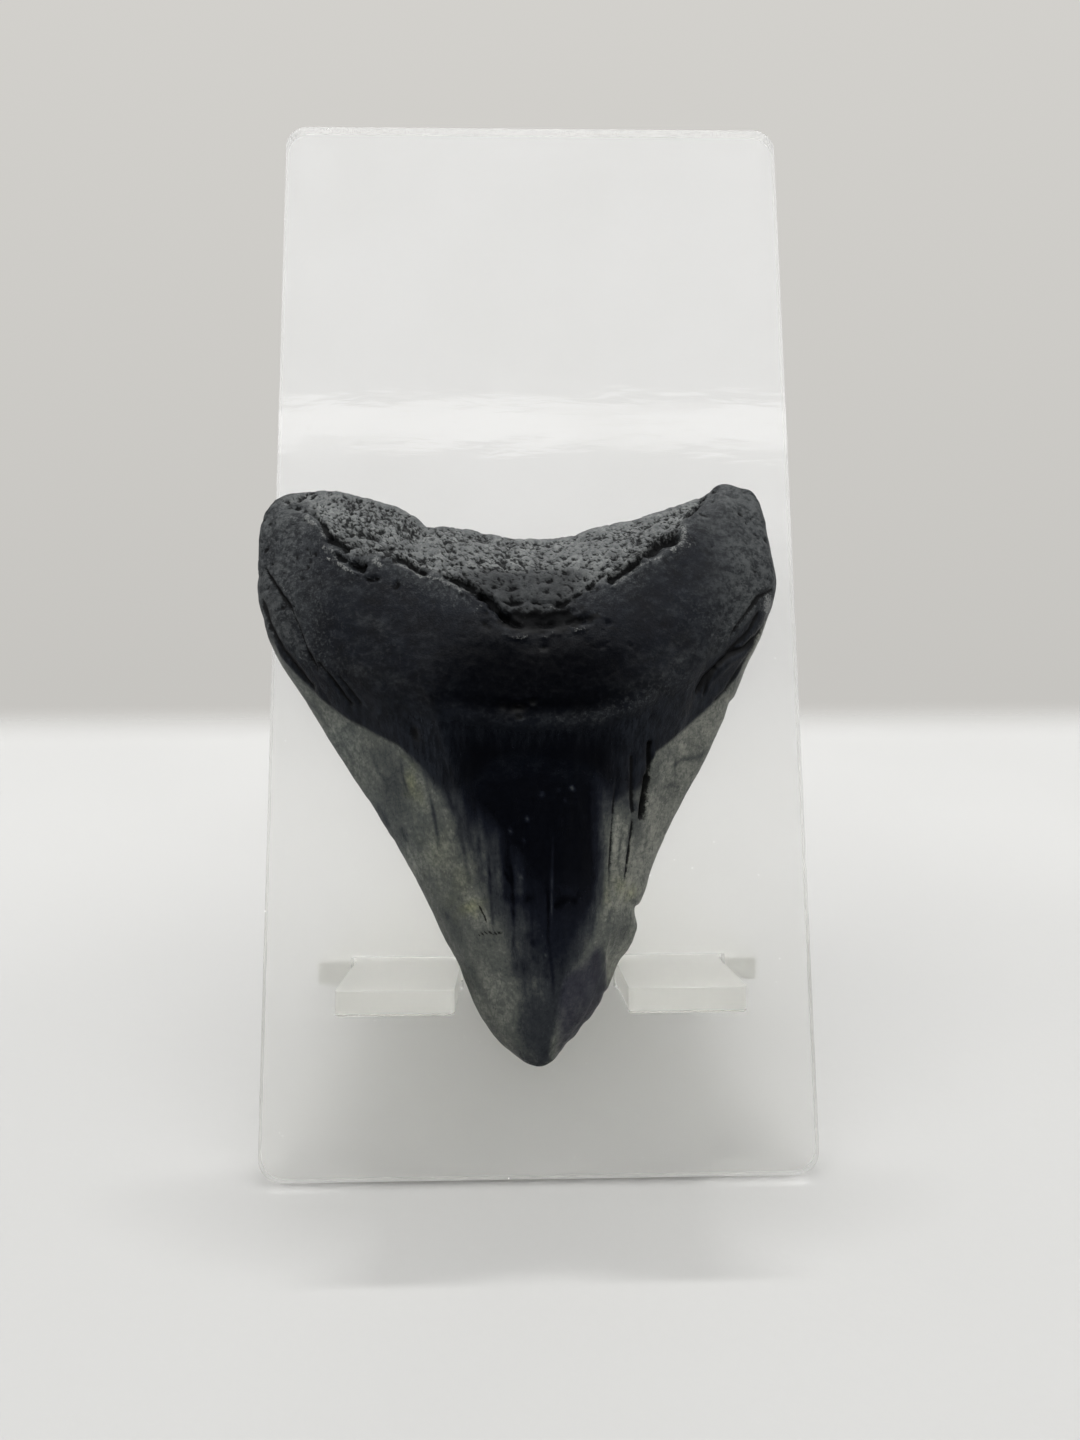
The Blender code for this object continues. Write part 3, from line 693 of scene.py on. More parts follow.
# where the arms meet: a ragged upper line, hollows under it and a bumpy lip
slit([(-4.9, 74.7), (-3.6, 74.4), (-2.2, 74.8)], 0.22, 0.5, 1200, dirt_and_shade=0.9)
slit([(-1.4, 74.9), (0.2, 74.4), (2.0, 74.5), (3.3, 73.7)], 0.18, 0.45, 1205, dirt_and_shade=0.8)
pit(-2.7, 74.4, 0.9, 0.34, 0.4, 10, 1201)
pit(2.7, 74.0, 0.7, 0.38, 0.5, -20, 1202)
slit([(-5.2, 73.5), (-4.0, 72.5), (-3.0, 71.6), (-1.8, 71.5)], 0.28, 0.7, 1210, slope=0.5, pale=0.2)
slit([(-0.6, 71.9), (0.8, 71.5), (2.2, 71.9)], 0.30, 0.6, 1214)
slit([(3.2, 71.6), (4.6, 72.0), (6.6, 72.5)], 0.20, 0.45, 1216, dirt_and_shade=0.8)
pit(0.5, 72.3, 1.3, 0.55, 0.45, 0, 1211, dirt_and_shade=0.8)
disp -= 0.55 * patch(0.3, 71.9, 5.2, 1.15, 2, 1218, 0.7, 4.0, 1.0)
pit(-2.6, 72.9, 0.8, 0.45, 0.5, -30, 1212)
pit(3.2, 73.0, 0.8, 0.4, 0.4, 20, 1213, dirt_and_shade=0.7)
chip([(-5.2, 70.9), (-3.0, 69.8), (-0.9, 69.9), (2.7, 70.1), (5.2, 70.9), (7.6, 71.4)], 0.50, 0.24, 0.34, 1220, 0.85)
# right arm
slit([(2.8, 73.8), (4.4, 75.2), (5.9, 75.9)], 0.22, 0.6, 1300, slope=0.5, pale=0.3)
slit([(6.0, 76.0), (7.5, 77.4), (9.1, 79.2)], 0.18, 0.5, 1310, dirt_and_shade=0.8)
slit([(8.6, 77.3), (10.7, 78.5), (12.4, 79.9), (14.0, 81.1)], 0.44, 1.2, 1320, slope=1.0, pale=0.55)
slit([(13.6, 80.8), (14.9, 82.3), (16.0, 83.5), (17.4, 84.1), (19.2, 84.9)], 0.66, 1.5, 1330, slope=1.5, pale=0.15)
pit(15.6, 82.8, 1.1, 0.8, 0.6, 50, 1331)
pit(17.9, 83.7, 1.3, 0.7, 0.7, 15, 1332)
slit([(18.3, 85.9), (19.9, 86.9)], 0.20, 0.5, 1340, taper=0.3)
slit([(19.9, 87.2), (21.5, 89.2), (22.9, 91.0)], 0.34, 0.9, 1350, slope=0.6, pale=0.4)
slit([(22.4, 90.7), (24.0, 92.7)], 0.18, 0.5, 1360, taper=0.3, dirt_and_shade=0.8)
chip([(19.7, 86.3), (19.6, 84.3), (18.6, 82.5), (17.0, 81.4)], 0.34, 0.20, 0.85, 1370, 0.45)
chip([(17.2, 81.5), (15.1, 80.5), (13.4, 79.5), (11.2, 78.3), (8.8, 77.1)], 0.28, 0.15, 0.60, 1380, 0.5)
# notch in the outline and the shallow groove that runs down from it
slit([(-14.5, 88.2), (-14.2, 87.3), (-13.1, 86.1), (-11.9, 83.0), (-11.5, 80.5)], 0.20, 0.35, 1400, dirt_and_shade=0.55, rag=0.3)
chip([(-13.0, 83.0), (-12.6, 81.2), (-11.7, 79.8)], 0.8, 0.10, 0.55, 1410, 0.9)
# ledge on the left lobe's tip, with a smooth bulge under it
slit([(-35.2, 90.3), (-34.0, 90.5), (-33.0, 90.4), (-31.6, 90.1)], 0.34, 0.35, 1420, dirt_and_shade=0.7, taper=0.3, rag=0.25)
disp += 0.25 * patch(-33.2, 88.3, 2.6, 1.5, -10, 1421, 0.15)
rubbed_and_lit = np.maximum(rubbed_and_lit, 0.25 * patch(-33.0, 88.6, 2.0, 1.0, -10, 1422, 0.6))

# overlapping scales low on the left lobe
groove([(-37.4, 82.4), (-36.3, 80.5), (-34.6, 78.1), (-32.8, 75.4), (-31.6, 72.7), (-30.6, 69.8), (-29.0, 66.5)], 0.40, 0.26, 0.2, 201, lip=0.12, lip_at=0.8, step=0.30, step_width=2.2, dirt_and_shade=0.8)
chip([(-35.3, 79.9), (-34.4, 78.9), (-32.3, 76.1), (-30.9, 73.3)], 0.24, 0.12, 0.35, 206, 0.4)
groove([(-37.6, 78.0), (-36.1, 73.6), (-34.3, 70.3), (-31.9, 67.2), (-29.6, 64.6)], 0.36, 0.34, 0.2, 202, lip=0.08, lip_at=0.8, step=0.15, dirt_and_shade=0.75)
groove([(-29.3, 68.4), (-27.1, 65.8), (-25.6, 63.5), (-24.5, 62.2)], 0.28, 0.26, 0.2, 203, dirt_and_shade=0.7)
groove([(-26.4, 66.4), (-24.8, 64.4), (-23.2, 62.2)], 0.18, 0.24, 0.2, 204, dirt_and_shade=0.5)
chip([(-33.8, 72.0), (-31.8, 69.0), (-29.9, 66.6)], 0.22, 0.06, 0.30, 207, 0.6)
pit(-16.2, 58.3, 0.6, 1.2, 0.30, 20, 205, dirt_and_shade=0.7)
# the same on the right lobe
groove([(32.6, 79.0), (32.3, 78.5), (29.9, 76.9), (28.4, 74.9), (26.5, 72.6), (25.5, 70.9)], 0.34, 0.24, 0.25, 211, dirt_and_shade=0.8, pulse=0.35)
chip([(31.9, 79.5), (29.8, 77.9), (27.9, 76.4)], 0.24, 0.10, 0.35, 210, 0.5)
groove([(30.3, 75.4), (28.5, 72.3), (26.9, 70.6), (25.2, 69.0)], 0.30, 0.24, 0.25, 218, dirt_and_shade=0.8, pulse=0.35)
groove([(31.0, 73.6), (30.2, 72.2), (28.2, 70.3), (25.9, 69.1), (24.2, 67.7), (22.5, 65.9), (21.0, 63.4)], 0.50, 0.30, 0.25, 212, dirt_and_shade=0.95)
groove([(21.0, 63.4), (22.5, 65.9), (24.2, 67.7), (25.9, 69.1), (28.2, 70.3), (30.2, 72.2)], 0.0, 0.4, 0.2, 213, lip=0.18, lip_at=0.8, dirt_and_shade=0.0)
groove([(32.4, 76.4), (30.0, 71.6), (28.0, 68.3), (25.7, 64.8), (23.6, 62.6)], 0.22, 0.22, 0.2, 214, dirt_and_shade=0.55)
groove([(24.0, 67.4), (22.9, 65.6), (22.2, 63.6)], 0.25, 0.22, 0.2, 216, dirt_and_shade=0.7)
chip([(27.0, 74.4), (23.9, 71.7), (21.3, 69.7)], 0.9, 0.05, 0.24, 217, 0.6)
chip([(31.4, 74.8), (29.4, 72.4), (26.7, 70.0)], 0.30, 0.06, 0.35, 219, 0.6)

# nutrient hole above the ridge
pit(-2.8, 60.8, 1.0, 0.55, 0.55, 0, 221)
pit(-4.6, 61.1, 0.6, 0.5, 0.3, 0, 222, dirt_and_shade=0.5)
pit(-0.8, 61.6, 0.5, 0.4, 0.3, 0, 223, dirt_and_shade=0.6)
pit(-2.5, 59.8, 0.6, 0.36, 0.25, 0, 228, dirt_and_shade=0.8)
chip([(-4.4, 59.7), (-2.6, 59.4), (-1.0, 60.0)], 0.36, 0.05, 0.0, 224, 0.6)
foramen = patch(-2.0, 61.6, 3.4, 2.2, 0, 225, 0.5)
disp += foramen * 0.07 * grain(P, 1.0, 226, 2)
rubbed_and_lit = np.maximum(rubbed_and_lit, foramen * 0.05 * steps(grain(P, 0.7, 227, 2), 0.05, 0.5))

# light scars and scuffs over the front of the root
scuff = np.random.RandomState(77)
for k in range(70):
    sx = scuff.uniform(-36, 31)
    ss = follow(RIDGE, sx) + 1.0 + scuff.rand() * (follow(CRACK, np.clip(sx, -30, 23)) - follow(RIDGE, sx) - 2.0)
    lobe = min(1.0, (abs(sx) / 26.0) ** 2 + 0.15)
    tilt = math.radians(scuff.uniform(-50, 40) + (40 if sx > 0 else -35))
    half = scuff.uniform(0.6, 2.6)
    ends_ = [(sx - half * math.cos(tilt), ss - half * math.sin(tilt)), (sx, ss + scuff.uniform(-0.25, 0.25)), (sx + half * math.cos(tilt), ss + half * math.sin(tilt))]
    m_ = mark(ends_, scuff.uniform(0.09, 0.15), 4100 + k % 7, 0.10, 0.45)
    if scuff.rand() < 0.6:
        rubbed_and_lit = np.maximum(rubbed_and_lit, 0.22 * lobe * m_ * scuff.uniform(0.3, 1.0))
        disp += 0.02 * m_
    else:
        grime_and_shade = np.maximum(grime_and_shade, 0.4 * m_ * scuff.uniform(0.3, 1.0))
        disp -= 0.05 * m_

# enamel edge: the dark neck overlaps it by a thin step
disp += fm * 0.14 * (1 - below_coat) * np.exp(-np.abs(S - coat_s) / 4.0) * steps(np.abs(X), 10.0, 16.0) * (1 - root)

# crevices and splits in the crown
groove([(14.7, 57.6), (14.6, 54.0), (14.2, 51.0), (13.7, 46.9)], 0.80, 0.26, 0.10, 301, taper=0.06, dirt_and_shade=1.0)
groove([(14.5, 53.0), (14.1, 50.6), (13.7, 47.0)], 0.5, 0.46, 0.12, 302, taper=0.03, dirt_and_shade=1.0)
groove([(12.6, 48.3), (12.3, 46.0), (12.0, 43.6), (11.6, 40.6), (11.2, 38.4)], 0.32, 0.15, 0.10, 303, dirt_and_shade=0.9, taper=0.25)
groove([(12.2, 55.6), (12.2, 52.5), (12.2, 50.0), (12.5, 47.6)], 0.30, 0.20, 0.12, 304, dirt_and_shade=0.8)
groove([(10.3, 53.6), (9.8, 49.6), (9.4, 44.5), (9.2, 40.6), (9.0, 37.0)], 0.18, 0.15, 0.12, 305, dirt_and_shade=0.6, taper=0.3)
groove([(-8.2, 32.2), (-7.0, 32.6), (-4.6, 32.5)], 0.08, 0.14, 0.05, 340, dirt_and_shade=0.75)
groove([(-8.0, 36.2), (-7.2, 34.6), (-6.9, 33.9)], 0.08, 0.14, 0.05, 341, dirt_and_shade=0.7)
fibres = grain(P * np.array([1.0, 0.12, 1.0]), 1.1, 361, 3, 0.6)
disp += fm * crown * 0.035 * fibres
disp += fm * ridge_band * 0.05 * grain(P * np.array([1.0, 0.25, 1.0]), 0.7, 362, 2)
# facets round the tip
disp -= fm * 0.22 * steps(X - follow([(9.2, 24.8), (8.9, 26.2), (8.8, 29.5), (9.4, 33.0)], S, 1), -0.1, 0.35) * steps(S, 24.0, 25.5) * (1 - steps(S, 31.5, 33.5))
pit(2.6, 17.7, 1.4, 0.6, 0.25, 40, 371, dirt_and_shade=0.1)
pit(4.7, 19.6, 1.1, 0.5, 0.20, 40, 372, dirt_and_shade=0.1)
tipward = 1 - steps(S, 17.5, 30.0)
disp += fm * tipward * 0.06 * grain(P, 2.2, 376, 3)

# pores: many on the basal face, a few on the lobes
pick = np.random.RandomState(4021)
chance = fm * (1.0 * rough_zone + 0.06 * ling * np.exp(-np.clip(-above, 0, None) / 2.5)
               + 0.05 * steps(np.abs(X), 25, 31) * ling * steps(S, 74, 80))
chance *= steps(V, 0.0, 0.012)
chance *= 0.35 + 0.65 * steps(grain(P, 7.0, 402, 2), -0.4, 0.3)
area = np.linalg.norm(np.cross(down, across), axis=-1)
flat = (chance * area).ravel()
chosen = pick.choice(flat.size, size=2600, replace=False, p=flat / flat.sum())
for c in chosen:
    j, i = divmod(int(c), COLS)
    r = 0.13 + 0.27 * pick.rand() ** 2.5
    deep = (0.12 + 0.22 * pick.rand()) * (r / 0.3) ** 0.6
    stretch = 1.0 + 0.8 * pick.rand()
    turned = pick.rand() * math.pi
    j0, j1 = max(j - 14, 0), min(j + 15, ROWS)
    i0, i1 = max(i - 16, 0), min(i + 17, FRONT)
    q = P[j0:j1, i0:i1] - P[j, i]
    n = normal[j, i]
    a = np.cross(n, (0.3, 1.0, 0.1))
    a /= np.linalg.norm(a)
    b = np.cross(n, a)
    e1, e2 = a * math.cos(turned) + b * math.sin(turned), -a * math.sin(turned) + b * math.cos(turned)
    rr = (q @ e1 / (r * stretch)) ** 2 + (q @ e2 / r) ** 2
    cut = np.exp(-rr)
    disp[j0:j1, i0:i1] -= deep * cut
    # the pore's inside is painted darker the deeper it is: painted shade
    grime_and_shade[j0:j1, i0:i1] = np.maximum(grime_and_shade[j0:j1, i0:i1], (0.25 + 0.65 * deep / 0.36) * np.exp(-rr * 1.2))

# the back face: flat crown, shallow uneven hollow under the root
bm_ = 1 - fm
disp += bm_ * root * (0.10 * grain(P, 3.0, 501, 3) - 0.05)
disp = np.where(is_front[None, :], disp, np.minimum(disp, 0.06))
soft_edge = steps(rim, 0.0, 0.02)
disp *= np.where(is_front[None, :], 0.35 + 0.65 * soft_edge, 1.0)
Q = P + normal * disp[..., None]
# worn outline
edge = np.exp(-rim / 0.012)
Q[..., 0] += -np.sign(X) * edge * 0.10 * grain(P, 1.6, 511, 2) * (V > 0.02)
# chips out of the cutting edges: height, depth, length above it and length below it
for s0, bite, up, down_ in ((35.7, 0.62, 0.25, 2.2), (63.4, 0.40, 0.5, 1.2), (24.4, 0.28, 0.3, 0.9), (20.4, 0.32, 0.3, 0.9), (18.0, 0.25, 0.3, 0.6)):
    Q[..., 0] -= bite * np.exp(-(((S - s0) / np.where(S > s0, up, down_)) ** 2)) * np.exp(-(1 - U) / 0.035) * (X > 0)
for s0, bite, up, down_ in ((50.3, 0.07, 0.4, 0.6), (45.0, 0.10, 0.4, 0.6), (75.0, 0.2, 1.0, 1.0)):
    Q[..., 0] += bite * np.exp(-(((S - s0) / np.where(S > s0, up, down_)) ** 2)) * np.exp(-U / 0.03) * (X < 0)
Q[..., 2] = np.maximum(Q[..., 2], 0.34)
Q[..., 0] = np.maximum(Q[..., 0], -38.30)

# closing rows over the top outline
mid_n = (front_n[0] + back_n[0]) / 2
half = (front_n[0] - back_n[0]) / 2
caps = []
for k in range(5):
    a = math.radians(90 * (k + 1) / 5.6)
    row = Q[0].copy()
    row[:, 2] = mid_n + (Q[0][:, 2] - mid_n) * math.cos(a)
    row[:, 1] += 0.32 * half * math.sin(a) * np.clip(np.minimum(u_loop, 1 - u_loop) / 0.04, 0, 1) + 0.05 * grain(row, 1.2, 521, 2)
    caps.append(row)
Q = np.concatenate([np.array(caps[::-1]), Q])
K = len(caps)


def spread(field):
    return np.concatenate([np.repeat(field[:1], K, axis=0), field])


rows_total = ROWS + K
verts = place(Q.reshape(-1, 3))
jj, cc = np.meshgrid(np.arange(rows_total - 1), np.arange(COLS), indexing="ij")
nxt = (cc + 1) % COLS
faces = np.stack([jj * COLS + cc, (jj + 1) * COLS + cc, (jj + 1) * COLS + nxt, jj * COLS + nxt], axis=-1).reshape(-1, 4)


def zip_row(row, flip):
    """Closes a loop by joining its front and back columns from one side to the other."""
    a = [row * COLS + c for c in range(FRONT)]
    b = [row * COLS + c for c in range(COLS - 1, FRONT - 1, -1)]
    ua, ub = list(u_front), list(u_loop[FRONT:][::-1])
    out, i, k = [], 0, -1
    while i < FRONT - 1 or k < BEHIND - 1:
        here = b[k] if k >= 0 else None
        if k < BEHIND - 1 and (i >= FRONT - 1 or ub[k + 1] <= ua[i + 1]):
            if here is None:
                out.append((a[i], b[0], a[i + 1]))
                i, k = i + 1, 0
            else:
                out.append((a[i], here, b[k + 1]))
                k += 1
        elif here is None:
            out.append((a[i], b[0], a[i + 1]))
            i, k = i + 1, 0
        elif i < FRONT - 1:
            out.append((a[i], here, a[i + 1]))
            i += 1
    return [f[::-1] for f in out] if flip else out


tooth_mesh = bpy.data.meshes.new("megalodon_tooth_surface")
tooth_mesh.from_pydata(verts.tolist(), [], faces.tolist() + zip_row(0, False) + zip_row(rows_total - 1, True))
tooth_mesh.update()

# which way round
centre = verts.mean(axis=0)
test = tooth_mesh.polygons[(rows_total // 2) * COLS + FRONT // 2]
if Vector(test.normal).dot(Vector(tuple(EN))) < 0:
    tooth_mesh.flip_normals()
tooth_mesh.shade_smooth()


def store(name, field):
    a = tooth_mesh.attributes.new(name, "FLOAT", "POINT")
    a.data.foreach_set("value", np.ascontiguousarray(spread(field), dtype=np.float32).ravel())


# ---------------------------------------------------------------- tooth: where its colours lie
# the crown: how light its enamel is, 0 near black to 1 pale grey
streak = grain(P * np.array([1.0, 0.06, 1.0]), 1.7, 601, 3, 0.6)
streak_fine = grain(P * np.array([1.0, 0.05, 1.0]), 0.75, 602, 2, 0.6)
cloud = grain(P, 3.4, 603, 3, 0.6)
mottle = grain(P, 1.1, 604, 2, 0.7)
l0, l1, r1, r0 = [follow(line, S, 1) for line in (STAIN_L0, STAIN_L1, STAIN_R1, STAIN_R0)]
stain_l = np.clip((X - l0) / np.maximum(l1 - l0, 0.4), 0, 1)
stain_r = np.clip((r0 - X) / np.maximum(r0 - r1, 0.4), 0, 1)
stain_l = np.clip(stain_l + (0.55 * streak + 0.20 * streak_fine) * 4 * stain_l * (1 - stain_l), 0, 1)
stain_r = np.clip(stain_r + (0.25 * streak + 0.35 * streak_fine) * 4 * stain_r * (1 - stain_r), 0, 1)
stain = np.minimum(stain_l ** 0.62, stain_r ** 0.8)
deepest = np.interp(S, [17, 21, 24, 26.5, 29, 31.5, 34, 37, 41, 60], [0.40, 0.42, 0.40, 0.34, 0.25, 0.20, 0.16, 0.09, 0.03, 0.02])
light = np.where(X < 0, 0.72, 0.84) + 0.07 * cloud + 0.05 * streak
light -= 0.13 * patch(-19.8, 51.0, 3.0, 4.5, 15, 621, 0.5)
light -= 0.10 * patch(-17.5, 45.2, 3.2, 1.8, 20, 622, 0.6)
light += 0.12 * patch(-9.0, 37.5, 2.4, 3.6, 10, 623, 0.5)
light += 0.10 * patch(-26.5, 58.5, 5.0, 2.5, -45, 624, 0.5)
light += 0.10 * patch(10.8, 38.6, 2.2, 3.4, 0, 625, 0.5)
light -= 0.12 * patch(11.0, 32.5, 2.4, 1.8, 0, 626, 0.5)
light += 0.04 * patch(-5.2, 20.0, 1.6, 3.4, 25, 627, 0.4)
light += 0.08 * patch(-6.2, 25.0, 1.8, 1.6, 0, 628, 0.5)
light += 0.11 * patch(-16.2, 52.2, 1.6, 2.6, 10, 629, 0.4)
light += 0.10 * patch(-15.8, 43.2, 2.6, 3.0, 15, 630, 0.5)
light -= 0.12 * patch(-11.6, 36.6, 1.8, 2.4, 15, 631, 0.5)
light += 0.12 * patch(15.4, 47.0, 1.5, 3.0, -10, 632, 0.5)
light -= 0.10 * patch(9.8, 38.2, 1.4, 2.6, 0, 633, 0.5)
light -= 0.06 * patch(19.5, 54.5, 3.0, 4.0, -20, 634, 0.6)
tone = light + (deepest - light) * stain
# dark stripes
for k, (line, width, much) in enumerate([
        ([(-18.2, 56.4), (-18.0, 53.2), (-17.1, 50.2)], 0.22, 0.34), ([(-15.0, 54.3), (-14.5, 51.2), (-13.8, 48.3), (-13.3, 44.7), (-12.9, 42.4)], 0.24, 0.42),
        ([(-12.3, 52.1), (-11.6, 49.7), (-10.7, 47.2)], 0.30, 0.30), ([(-11.1, 51.6), (-10.4, 47.1), (-9.9, 43.3), (-9.3, 39.5), (-9.1, 36.8)], 0.30, 0.34),
        ([(-7.9, 45.4), (-7.7, 42.2)], 0.22, 0.25), ([(-6.7, 46.0), (-6.5, 40.7), (-6.3, 36.2), (-6.0, 32.3), (-5.9, 30.5)], 0.20, 0.40),
        ([(-5.1, 45.5), (-4.7, 40.7), (-3.6, 38.4)], 0.24, 0.22), ([(-3.8, 43.2), (-3.5, 38.1), (-3.4, 33.0), (-3.6, 28.3)], 0.24, 0.34),
        ([(0.8, 40.4), (1.1, 36.1), (1.0, 32.3), (1.4, 29.1), (1.7, 25.2), (2.0, 22.0)], 0.22, 0.20), ([(-1.9, 35.6), (-1.6, 31.2)], 0.20, 0.16),
        ([(7.6, 49.0), (7.4, 41.8), (7.2, 36.7), (6.8, 31.5)], 0.24, 0.20), ([(9.7, 50.5), (9.4, 44.5), (9.2, 40.6), (9.0, 36.2)], 0.20, 0.30),
        ([(10.9, 45.6), (10.4, 41.8), (10.9, 38.9)], 0.18, 0.24), ([(12.1, 47.6), (11.8, 43.8), (11.4, 40.6), (11.0, 38.2)], 0.18, 0.34),
        ([(14.8, 46.8), (14.2, 42.8)], 0.22, 0.20), ([(9.7, 36.2), (8.7, 33.0)], 0.22, 0.20),
        ([(-13.4, 36.6), (-12.0, 34.2), (-10.9, 32.1), (-9.5, 30.0)], 0.70, 0.30), ([(-10.0, 29.6), (-8.8, 27.0), (-7.9, 25.1), (-6.4, 22.8)], 0.55, 0.22),
        ([(8.0, 31.9), (8.4, 28.8), (8.9, 25.4)], 0.55, 0.26), ([(17.4, 53.8), (19.5, 55.3), (22.2, 55.8), (24.1, 57.6)], 0.20, 0.36),
        ([(16.3, 51.2), (18.1, 51.9), (20.0, 51.4)], 0.20, 0.24), ([(17.0, 57.0), (18.6, 55.2), (18.4, 52.6)], 0.18, 0.24),
        ([(-32.4, 64.9), (-29.8, 62.2), (-28.0, 59.2)], 0.26, 0.26), ([(-22.5, 50.3), (-20.9, 48.3), (-20.1, 46.0)], 0.26, 0.24),
        ([(-27.6, 60.4), (-26.0, 57.0), (-24.6, 54.6)], 0.22, 0.22), ([(-22.8, 57.4), (-21.4, 54.0), (-19.4, 50.6)], 0.22, 0.20)]):
    tone = tone - much * mark(line, width, 640 + k, 0.14, 0.28) * (0.65 + 0.5 * mottle)
# pale stripes
for k, (line, width, much) in enumerate([
        ([(1.75, 45.5), (1.6, 40.6), (1.5, 36.8), (1.5, 32.4)], 0.15, 0.34), ([(-7.3, 44.6), (-7.1, 40.2), (-6.9, 36.4)], 0.26, 0.16),
        ([(-5.7, 44.2), (-5.4, 40.6), (-5.2, 37.0)], 0.28, 0.16), ([(-12.4, 49.6), (-11.9, 46.6), (-11.3, 43.6)], 0.45, 0.12),
        ([(8.2, 46.4), (8.0, 40.8), (7.8, 35.6)], 0.24, 0.14), ([(10.3, 48.6), (10.0, 45.0), (9.9, 41.0)], 0.28, 0.14),
        ([(8.4, 31.0), (9.2, 28.4), (9.6, 25.6)], 0.20, 0.26), ([(8.2, 31.2), (6.5, 29.8), (4.6, 28.2), (3.2, 26.6), (2.5, 24.0)], 0.20, 0.12),
        ([(7.7, 28.6), (5.5, 27.4), (3.9, 25.8), (2.9, 23.3)], 0.18, 0.10), ([(8.3, 26.6), (6.8, 25.2), (5.2, 23.6), (4.0, 21.5)], 0.18, 0.10),
        ([(1.9, 19.6), (1.5, 18.0), (1.4, 16.9)], 0.28, 0.26), ([(-1.0, 30.6), (-0.8, 27.0), (-0.9, 24.4)], 0.40, 0.12),
        ([(3.0, 38.4), (4.4, 37.6), (5.4, 36.2)], 0.20, 0.10), ([(2.6, 34.4), (4.2, 34.6), (5.6, 33.4)], 0.20, 0.08)]):
    tone = tone + much * mark(line, width, 680 + k, 0.12, 0.25) * (0.65 + 0.5 * mottle)
# ragged dark blots and pale crumbs
for k, (x, s, rx, rs, much) in enumerate([
        (-4.1, 37.1, 0.9, 0.6, 0.16), (-1.9, 36.8, 1.2, 0.7, 0.14), (-1.5, 32.3, 0.9, 0.6, 0.12), (-2.6, 28.0, 1.3, 1.2, 0.22),
        (-0.8, 28.0, 0.9, 0.9, 0.16), (-0.9, 29.6, 0.7, 0.4, 0.18), (0.7, 27.0, 0.6, 0.5, 0.12), (-1.0, 31.3, 0.4, 0.4, 0.22),
        (3.2, 36.7, 0.8, 0.5, 0.14), (4.7, 36.9, 0.7, 0.4, 0.14), (2.2, 36.0, 0.5, 0.4, 0.16), (-18.0, 45.8, 1.1, 0.6, 0.20),
        (-15.9, 43.9, 1.0, 0.8, 0.14), (-2.0, 21.5, 2.2, 3.0, 0.10)]):
    tone = tone - much * patch(x, s, rx, rs, 25 * k, 700 + k, 0.7)
for k, (x, s, r, much) in enumerate([
        (4.2, 51.0, 0.34, 0.75), (0.3, 50.2, 0.30, 0.36), (-1.6, 47.1, 0.32, 0.60), (-3.8, 45.6, 0.30, 0.42), (-2.0, 44.4, 0.26, 0.22),
        (-2.4, 39.8, 0.32, 0.46), (0.7, 29.7, 0.22, 0.45), (2.5, 50.7, 0.26, 0.16), (3.3, 49.5, 0.28, 0.18), (1.7, 17.4, 0.26, 0.30),
        (1.3, 16.7, 0.22, 0.30), (-12.6, 40.6, 0.3, 0.12), (12.4, 37.4, 0.35, 0.20)]):
    tone = tone + 0.85 * much * patch(x, s, r * 0.8, r * 0.68, 30 * k, 720 + k, 0.5)
tone -= 0.30 * patch(10.8, 49.6, 1.5, 2.6, 0, 751, 0.5)
tone -= 0.30 * patch(13.0, 47.4, 1.1, 3.4, 0, 752, 0.5)
tone = np.clip(tone + 0.05 * mottle * (0.2 + tone), 0, 1.1)

core_neck = steps(X, -14.5, -8.0) * (1 - steps(X, 7.5, 13.5)) * (0.60 + 0.40 * steps(ridge_s - S, 0.3, 4.2))
neck = (1 - root) * (1 - below_coat)
lateral = (1 - root) * below_coat
yellow = np.zeros_like(X)
for k, (x, s, rx, rs, turned, much) in enumerate([
        (-16.8, 52.2, 0.8, 2.2, 8, 0.9), (-15.7, 50.4, 0.7, 1.4, 15, 0.6), (-9.3, 35.9, 1.3, 0.8, 20, 1.0), (-7.6, 36.5, 0.9, 0.5, 30, 0.5),
        (10.7, 38.6, 1.3, 1.5, 0, 0.55), (12.3, 37.5, 1.0, 0.7, 20, 0.6), (8.8, 37.6, 0.6, 1.6, 0, 0.4), (-13.2, 43.0, 2.2, 3.2, 10, 0.30),
        (-10.4, 39.5, 1.6, 2.4, 10, 0.35), (-11.5, 36.8, 1.4, 1.0, 20, 0.30)]):
    yellow = np.maximum(yellow, 0.75 * much * patch(x, s, rx, rs, turned, 740 + k, 0.7, 2.0, 1.0))
violet = (steps(follow([(8.3, 31.1), (6.5, 29.6), (4.5, 28.0), (3.0, 26.5), (2.2, 23.9), (1.7, 20.0)], X) - S + 0.6 * wob, -0.9, 1.3)
          * steps(X, 1.7, 3.4) * (1 - steps(X - follow([(9.6, 20.0), (9.0, 25.7), (8.5, 28.8), (8.1, 31.2)], S, 1) + 0.3 * wob, -0.8, 0.5)) * (1 - root))
tone = np.where(violet > 0, tone + (np.interp(S, [20, 26, 30], [0.40, 0.36, 0.26]) + 0.07 * mottle + 0.10 * cloud - tone) * violet * 0.80, tone)
bluish = (1 - root) * steps(-X, 8, 22) * (0.5 + 0.5 * grain(P, 5.0, 611, 2))
night = np.exp(-(np.abs(X + 0.5) / 14.5) ** 4) * (1 - steps(S - 0.05 * np.abs(X), 66.5, 74.0)) * root * steps(S - ridge_s, 0.2, 2.6)
